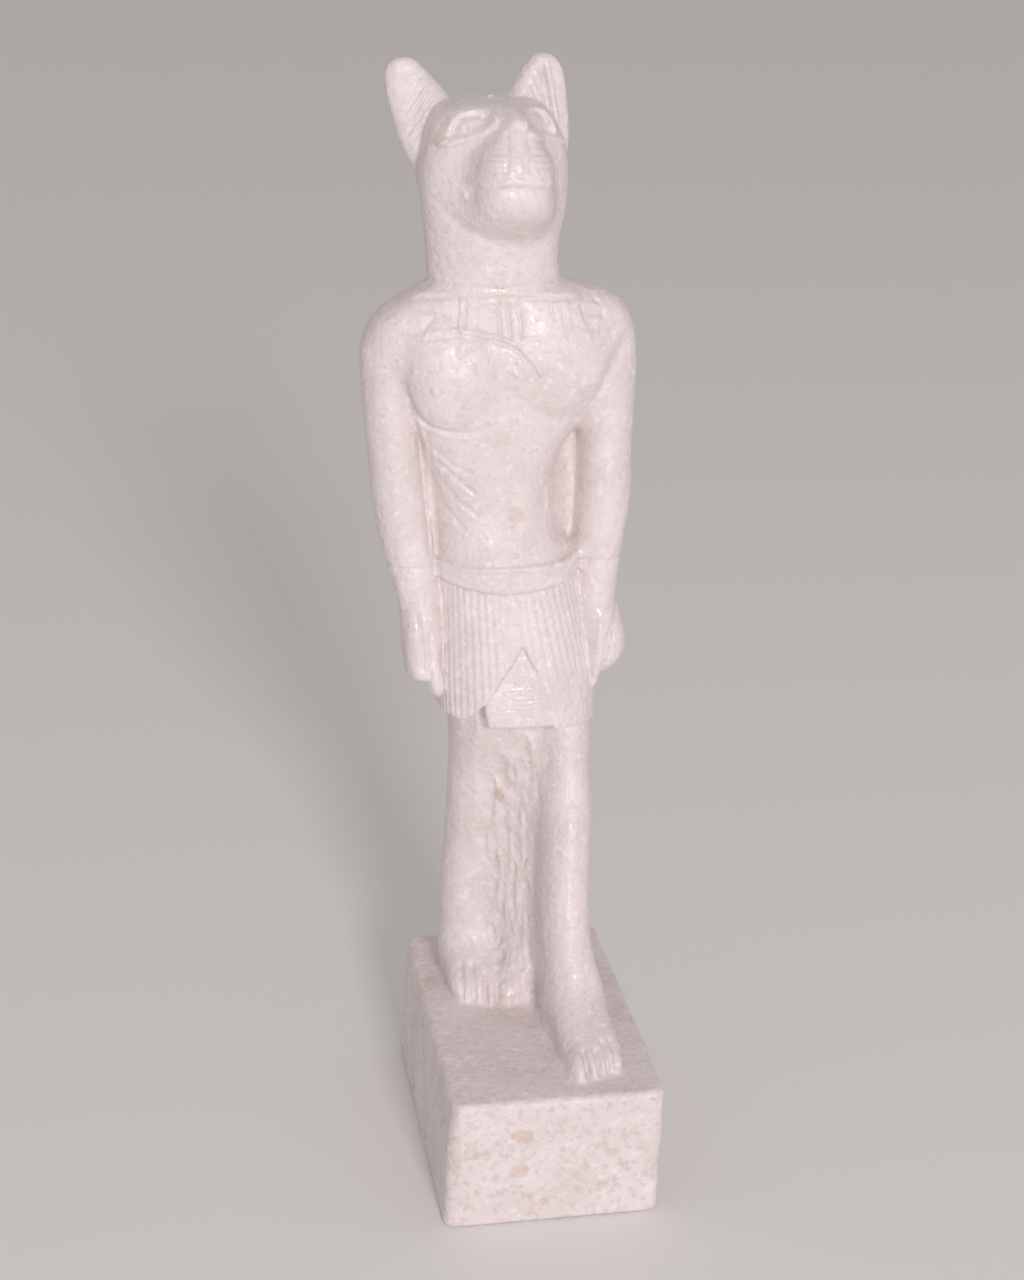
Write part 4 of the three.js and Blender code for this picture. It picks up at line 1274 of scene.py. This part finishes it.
class Socket:
    """A node's output. Python's arithmetic on it adds Math nodes, and node() any other kind."""

    def __init__(self, link):
        self.link = link

    def node(self, kind, settings, inputs, output=0):
        """Adds a node of that kind to the same tree, applies its settings, then sets or links
        its inputs, and returns the output asked for."""
        tree = self.link.id_data
        made = tree.nodes.new(kind)
        for name, value in settings.items():
            setattr(made, name, value)
        for name, value in inputs.items():
            if isinstance(value, Socket):
                tree.links.new(value.link, made.inputs[name])
            else:
                made.inputs[name].default_value = value
        return Socket(made.outputs[output]) if made.outputs else None

    def math(self, operation, first, second):
        """A Math node on two numbers, or a Socket and a number."""
        return self.node("ShaderNodeMath", {"operation": operation}, {0: first, 1: second})

    def vector(self, operation, first, second, output=0):
        """A Vector Math node, and the output asked for: its vector, or its value."""
        inputs = {0: first, 1: second}
        return self.node("ShaderNodeVectorMath", {"operation": operation}, inputs, output)

    def __add__(self, other):
        return self.math("ADD", self, other)

    __radd__ = __add__

    def __sub__(self, other):
        return self.math("SUBTRACT", self, other)

    def __rsub__(self, other):
        return self.math("SUBTRACT", other, self)

    def __mul__(self, other):
        return self.math("MULTIPLY", self, other)

    __rmul__ = __mul__

    def over(self, low, high):
        """0 below low, 1 above high, and a straight line between them."""
        inputs = {"Value": self, "From Min": low, "From Max": high}
        return self.node("ShaderNodeMapRange", {"clamp": True}, inputs)

    def tints(self, under, color):
        """The colour under where this is 0, and color where it is 1."""
        inputs = {0: self, 6: under, 7: color}
        return self.node("ShaderNodeMix", {"data_type": "RGBA"}, inputs, 2)


def linear(red, green, blue):
    """A display colour of 0 to 255 as linear light, with full alpha."""
    shares = [v / 255 for v in (red, green, blue)]
    return [s / 12.92 if s <= 0.04045 else ((s + 0.055) / 1.055) ** 2.4 for s in shares] + [1]


BASE = linear(239, 229, 229)
CLOUD = linear(230, 219, 218)
MOTTLE = linear(215, 200, 198)
PALE = linear(247, 241, 242)
FLECK = linear(190, 180, 180)
BEIGE = linear(218, 197, 182)
# Beige inclusions in the front of the stone: x, y and z of the middle, half width and half
# height in millimetres, and how strongly each one colours.
INCLUSIONS = [
    (-9.3, -50, 26.9, 3.1, 2.1, 0.78),
    (-10, -50, 16.5, 2.5, 2, 0.6),
    (-23, -50, 25.2, 1.5, 1.5, 0.3),
    (-18.6, -50, 21.4, 0.9, 0.6, 0.6),
    (-13.2, -50, 21.3, 0.6, 0.9, 0.6),
    (-16.8, -50, 14.6, 1.2, 1, 0.6),
    (-24.1, -50, 14.3, 0.8, 0.7, 0.7),
    (1.9, -50, 21.7, 1.6, 0.8, 0.6),
    (2.8, -50, 18.1, 0.9, 0.5, 0.6),
    (15.1, -50, 20.1, 2, 1.4, 0.65),
    (18.7, -50, 15.6, 1.2, 1.5, 0.7),
    (12.7, -50, 10.2, 1.9, 1.2, 0.45),
    (8, -50, 11.8, 1.1, 1.1, 0.3),
    (14.2, -50, 33.9, 0.6, 1.2, 0.6),
    (-6, 10.5, 98.6, 1.1, 2.3, 1),
    (-1.9, 9.5, 103, 0.8, 1.5, 0.55),
    (-3.2, 9.5, 102, 0.6, 1.7, 0.55),
    (1.8, 7, 112, 0.5, 3, 0.6),
    (-4.5, 10.5, 107.5, 0.6, 0.6, 0.5),
    (-6.8, 11.5, 93, 0.9, 0.7, 0.6),
    (-8.4, 12, 87.7, 1, 0.9, 0.6),
    (-11, 14, 88.5, 0.7, 0.6, 0.5),
    (-2.8, 9.5, 87.7, 0.6, 1.2, 0.6),
    (1.2, 7, 78.7, 0.5, 2.2, 0.9),
    (-5.7, 10, 77.3, 0.9, 2.6, 0.6),
    (-2.7, 4, 182.3, 2, 2.5, 0.6),
    (-8, 3, 243.2, 1.4, 0.6, 0.7),
    (-21.6, 2, 281.7, 1.1, 0.9, 0.6),
    (-24.4, 20, 36, 2.2, 2, 0.45),
]
INCLUSION_DEPTH = 5  # half of what each one reaches into the stone
CRYSTALS = 1300  # cells per metre that inclusions are made of

stone = bpy.data.materials.new("pale_stone")
stone.use_nodes = True
stone.node_tree.nodes.clear()
place = Socket(stone.node_tree.nodes.new("ShaderNodeTexCoord").outputs["Object"])


def noise(scale, detail, seed):
    """Smooth noise in the stone's own space, scale times per metre, other for each seed."""
    inputs = {"Vector": place, "W": seed, "Scale": scale, "Detail": detail}
    return place.node("ShaderNodeTexNoise", {"noise_dimensions": "4D"}, inputs)


def cells(scale, output):
    """Irregular cells, scale of them per metre: their distance, colour or middle."""
    return place.node("ShaderNodeTexVoronoi", {}, {"Vector": place, "Scale": scale}, output)


def picked(scale, channel):
    """A random number for each cell: one channel of its colour."""
    color = cells(scale, "Color")
    return place.node("ShaderNodeSeparateColor", {}, {"Color": color}, channel)


def inclusions():
    """Each inclusion is made of whole cells of the stone: those whose middle lies within its
    ellipsoid, so its outline is angular."""
    middle = cells(CRYSTALS, "Position")
    most = None
    for x, y, z, half_width, half_height, strength in INCLUSIONS:
        offset = place.vector("SUBTRACT", middle, (x * MM, y * MM, z * MM))
        reach = (half_width * MM, INCLUSION_DEPTH * MM, half_height * MM)
        radius = place.vector("LENGTH", place.vector("DIVIDE", offset, reach), (0, 0, 0), "Value")
        share = place.math("LESS_THAN", radius, 1) * strength
        most = share if most is None else place.math("MAXIMUM", most, share)
    return most


across_of, away_of, level_of = [
    place.node("ShaderNodeSeparateXYZ", {}, {"Vector": place}, axis) for axis in "XYZ"
]
# The figure above the plinth is polished. The plinth's front and its right side are mottled most:
# partly the stone's own mottle, partly painted shade that darkens those faces and leaves the top
# lighter.
figure_share = level_of.over(0.0366, 0.0378)
front_share = 1 - away_of.over(-0.0495, -0.0475)
side_share = 1 - across_of.over(-0.0285, -0.027)
faced_share = place.math("MAXIMUM", front_share, side_share)
mottle_and_shade_share = 0.3 + 0.36 * faced_share * (1 - figure_share)
cloud = noise(75, 4, 0).over(0.36, 0.64)
color = cloud.tints(BASE, CLOUD)
mottle = noise(500, 3, 1).over(0.5, 0.65)
# Grey mottle. It is heaviest on the plinth's front and right side, where it is partly painted shade.
color = (mottle * mottle_and_shade_share).tints(color, MOTTLE)
color = (noise(330, 3, 2).over(0.58, 0.66) * 0.6).tints(color, PALE)
fleck = (1 - cells(300, "Distance").over(0.1, 0.19)) * picked(300, "Red").over(0.55, 0.6)
color = (fleck * 0.3).tints(color, FLECK)
crumb = picked(520, "Green").over(0.96, 0.965) * (0.4 - 0.3 * figure_share)
beige = place.math("MAXIMUM", inclusions(), crumb)
color = (beige * (0.75 + 0.25 * cloud)).tints(color, BEIGE)
hammered = noise(560, 2, 3)
polish = noise(640, 2, 5).over(0.5, 0.62)
# The collar between its cuts was rubbed less than the smooth skin around it.
collar_share = level_of.over(0.229, 0.233) * (1 - level_of.over(0.241, 0.244))
grain = noise(1500, 2, 4)
height = hammered * 0.65 + grain * 0.35
bumps = {"Strength": 1, "Distance": 0.00055, "Height": height}
bump_normal = place.node("ShaderNodeBump", {}, bumps, "Normal")
surface = {
    "Base Color": color,
    "Roughness": 0.52 - 0.14 * figure_share + 0.1 * mottle,
    "Normal": bump_normal,
    "IOR": 1.5,
    "Subsurface Weight": 0.18,
    "Subsurface Radius": (1.0, 0.82, 0.76),
    "Subsurface Scale": 0.003,
    "Coat Roughness": 0.12,
    "Coat Weight": (0.05 + 0.4 * polish) * (1 - 0.75 * collar_share) * figure_share,
}
shader = place.node("ShaderNodeBsdfPrincipled", {}, surface)
shader.node("ShaderNodeOutputMaterial", {}, {"Surface": shader})
statue.data.materials.clear()
statue.data.materials.append(stone)

# Floor, light and camera.
# The statuette stands on a pale floor in soft daylight from the front, seen from above and from
# a little to its right, as in the photograph.

bpy.ops.mesh.primitive_plane_add(size=40, location=(0, 0, 0))
floor = bpy.context.active_object
floor.name = "floor"
floor_paint = bpy.data.materials.new("floor_paint")
floor_paint.use_nodes = True
floor_shader = floor_paint.node_tree.nodes["Principled BSDF"]
floor_shader.inputs["Base Color"].default_value = (0.9, 0.89, 0.88, 1)
floor_shader.inputs["Roughness"].default_value = 0.7
floor.data.materials.append(floor_paint)

world = bpy.data.worlds.new("daylight")
world.use_nodes = True
world.node_tree.nodes["Background"].inputs["Color"].default_value = (1, 0.945, 0.925, 1)
world.node_tree.nodes["Background"].inputs["Strength"].default_value = 0.45
bpy.context.scene.world = world
bpy.context.scene.view_settings.view_transform = "Standard"

LIGHT_AIM = Vector((0, 0, 0.16))
LIGHT_COLOR = (1, 0.965, 0.975)


def area_light(name, place, size, watts):
    """A square soft light at place, turned to face the figure."""
    lamp = bpy.data.lights.new(name, "AREA")
    lamp.size = size
    lamp.energy = watts
    lamp.color = LIGHT_COLOR
    holder = bpy.data.objects.new(name, lamp)
    holder.location = place
    holder.rotation_euler = (LIGHT_AIM - Vector(place)).to_track_quat("-Z", "Y").to_euler()
    bpy.context.scene.collection.objects.link(holder)


area_light("key", (0.12, -1.9, 0.86), 0.3, 17.4)
area_light("low", (-0.06, -1.6, 0.05), 0.2, 1.8)

CAMERA_PLACE = Vector((-0.10508, -0.60839, 0.37311))
CAMERA_AZIMUTH = math.radians(-9.4)
CAMERA_ELEVATION = math.radians(20)
CAMERA_ROLL = math.radians(0.31)
FOCAL_PIXELS = 2450
PICTURE_HEIGHT = 1280
SENSOR = 36

camera_data = bpy.data.cameras.new("camera")
camera_data.sensor_width = SENSOR
camera_data.lens = FOCAL_PIXELS / PICTURE_HEIGHT * SENSOR
camera_data.clip_start = 0.01
camera = bpy.data.objects.new("camera", camera_data)
camera.location = CAMERA_PLACE
level_right = Vector((math.cos(CAMERA_AZIMUTH), math.sin(CAMERA_AZIMUTH), 0))
level_back = Vector((math.sin(CAMERA_AZIMUTH), -math.cos(CAMERA_AZIMUTH), 0))
rise = Vector((0, 0, math.sin(CAMERA_ELEVATION)))
backwards = level_back * math.cos(CAMERA_ELEVATION) + rise
level_up = backwards.cross(level_right)
right = level_right * math.cos(CAMERA_ROLL) + level_up * math.sin(CAMERA_ROLL)
up = backwards.cross(right)
camera.rotation_mode = "QUATERNION"
camera.rotation_quaternion = Matrix((right, up, backwards)).transposed().to_quaternion()
bpy.context.scene.collection.objects.link(camera)
bpy.context.scene.camera = camera
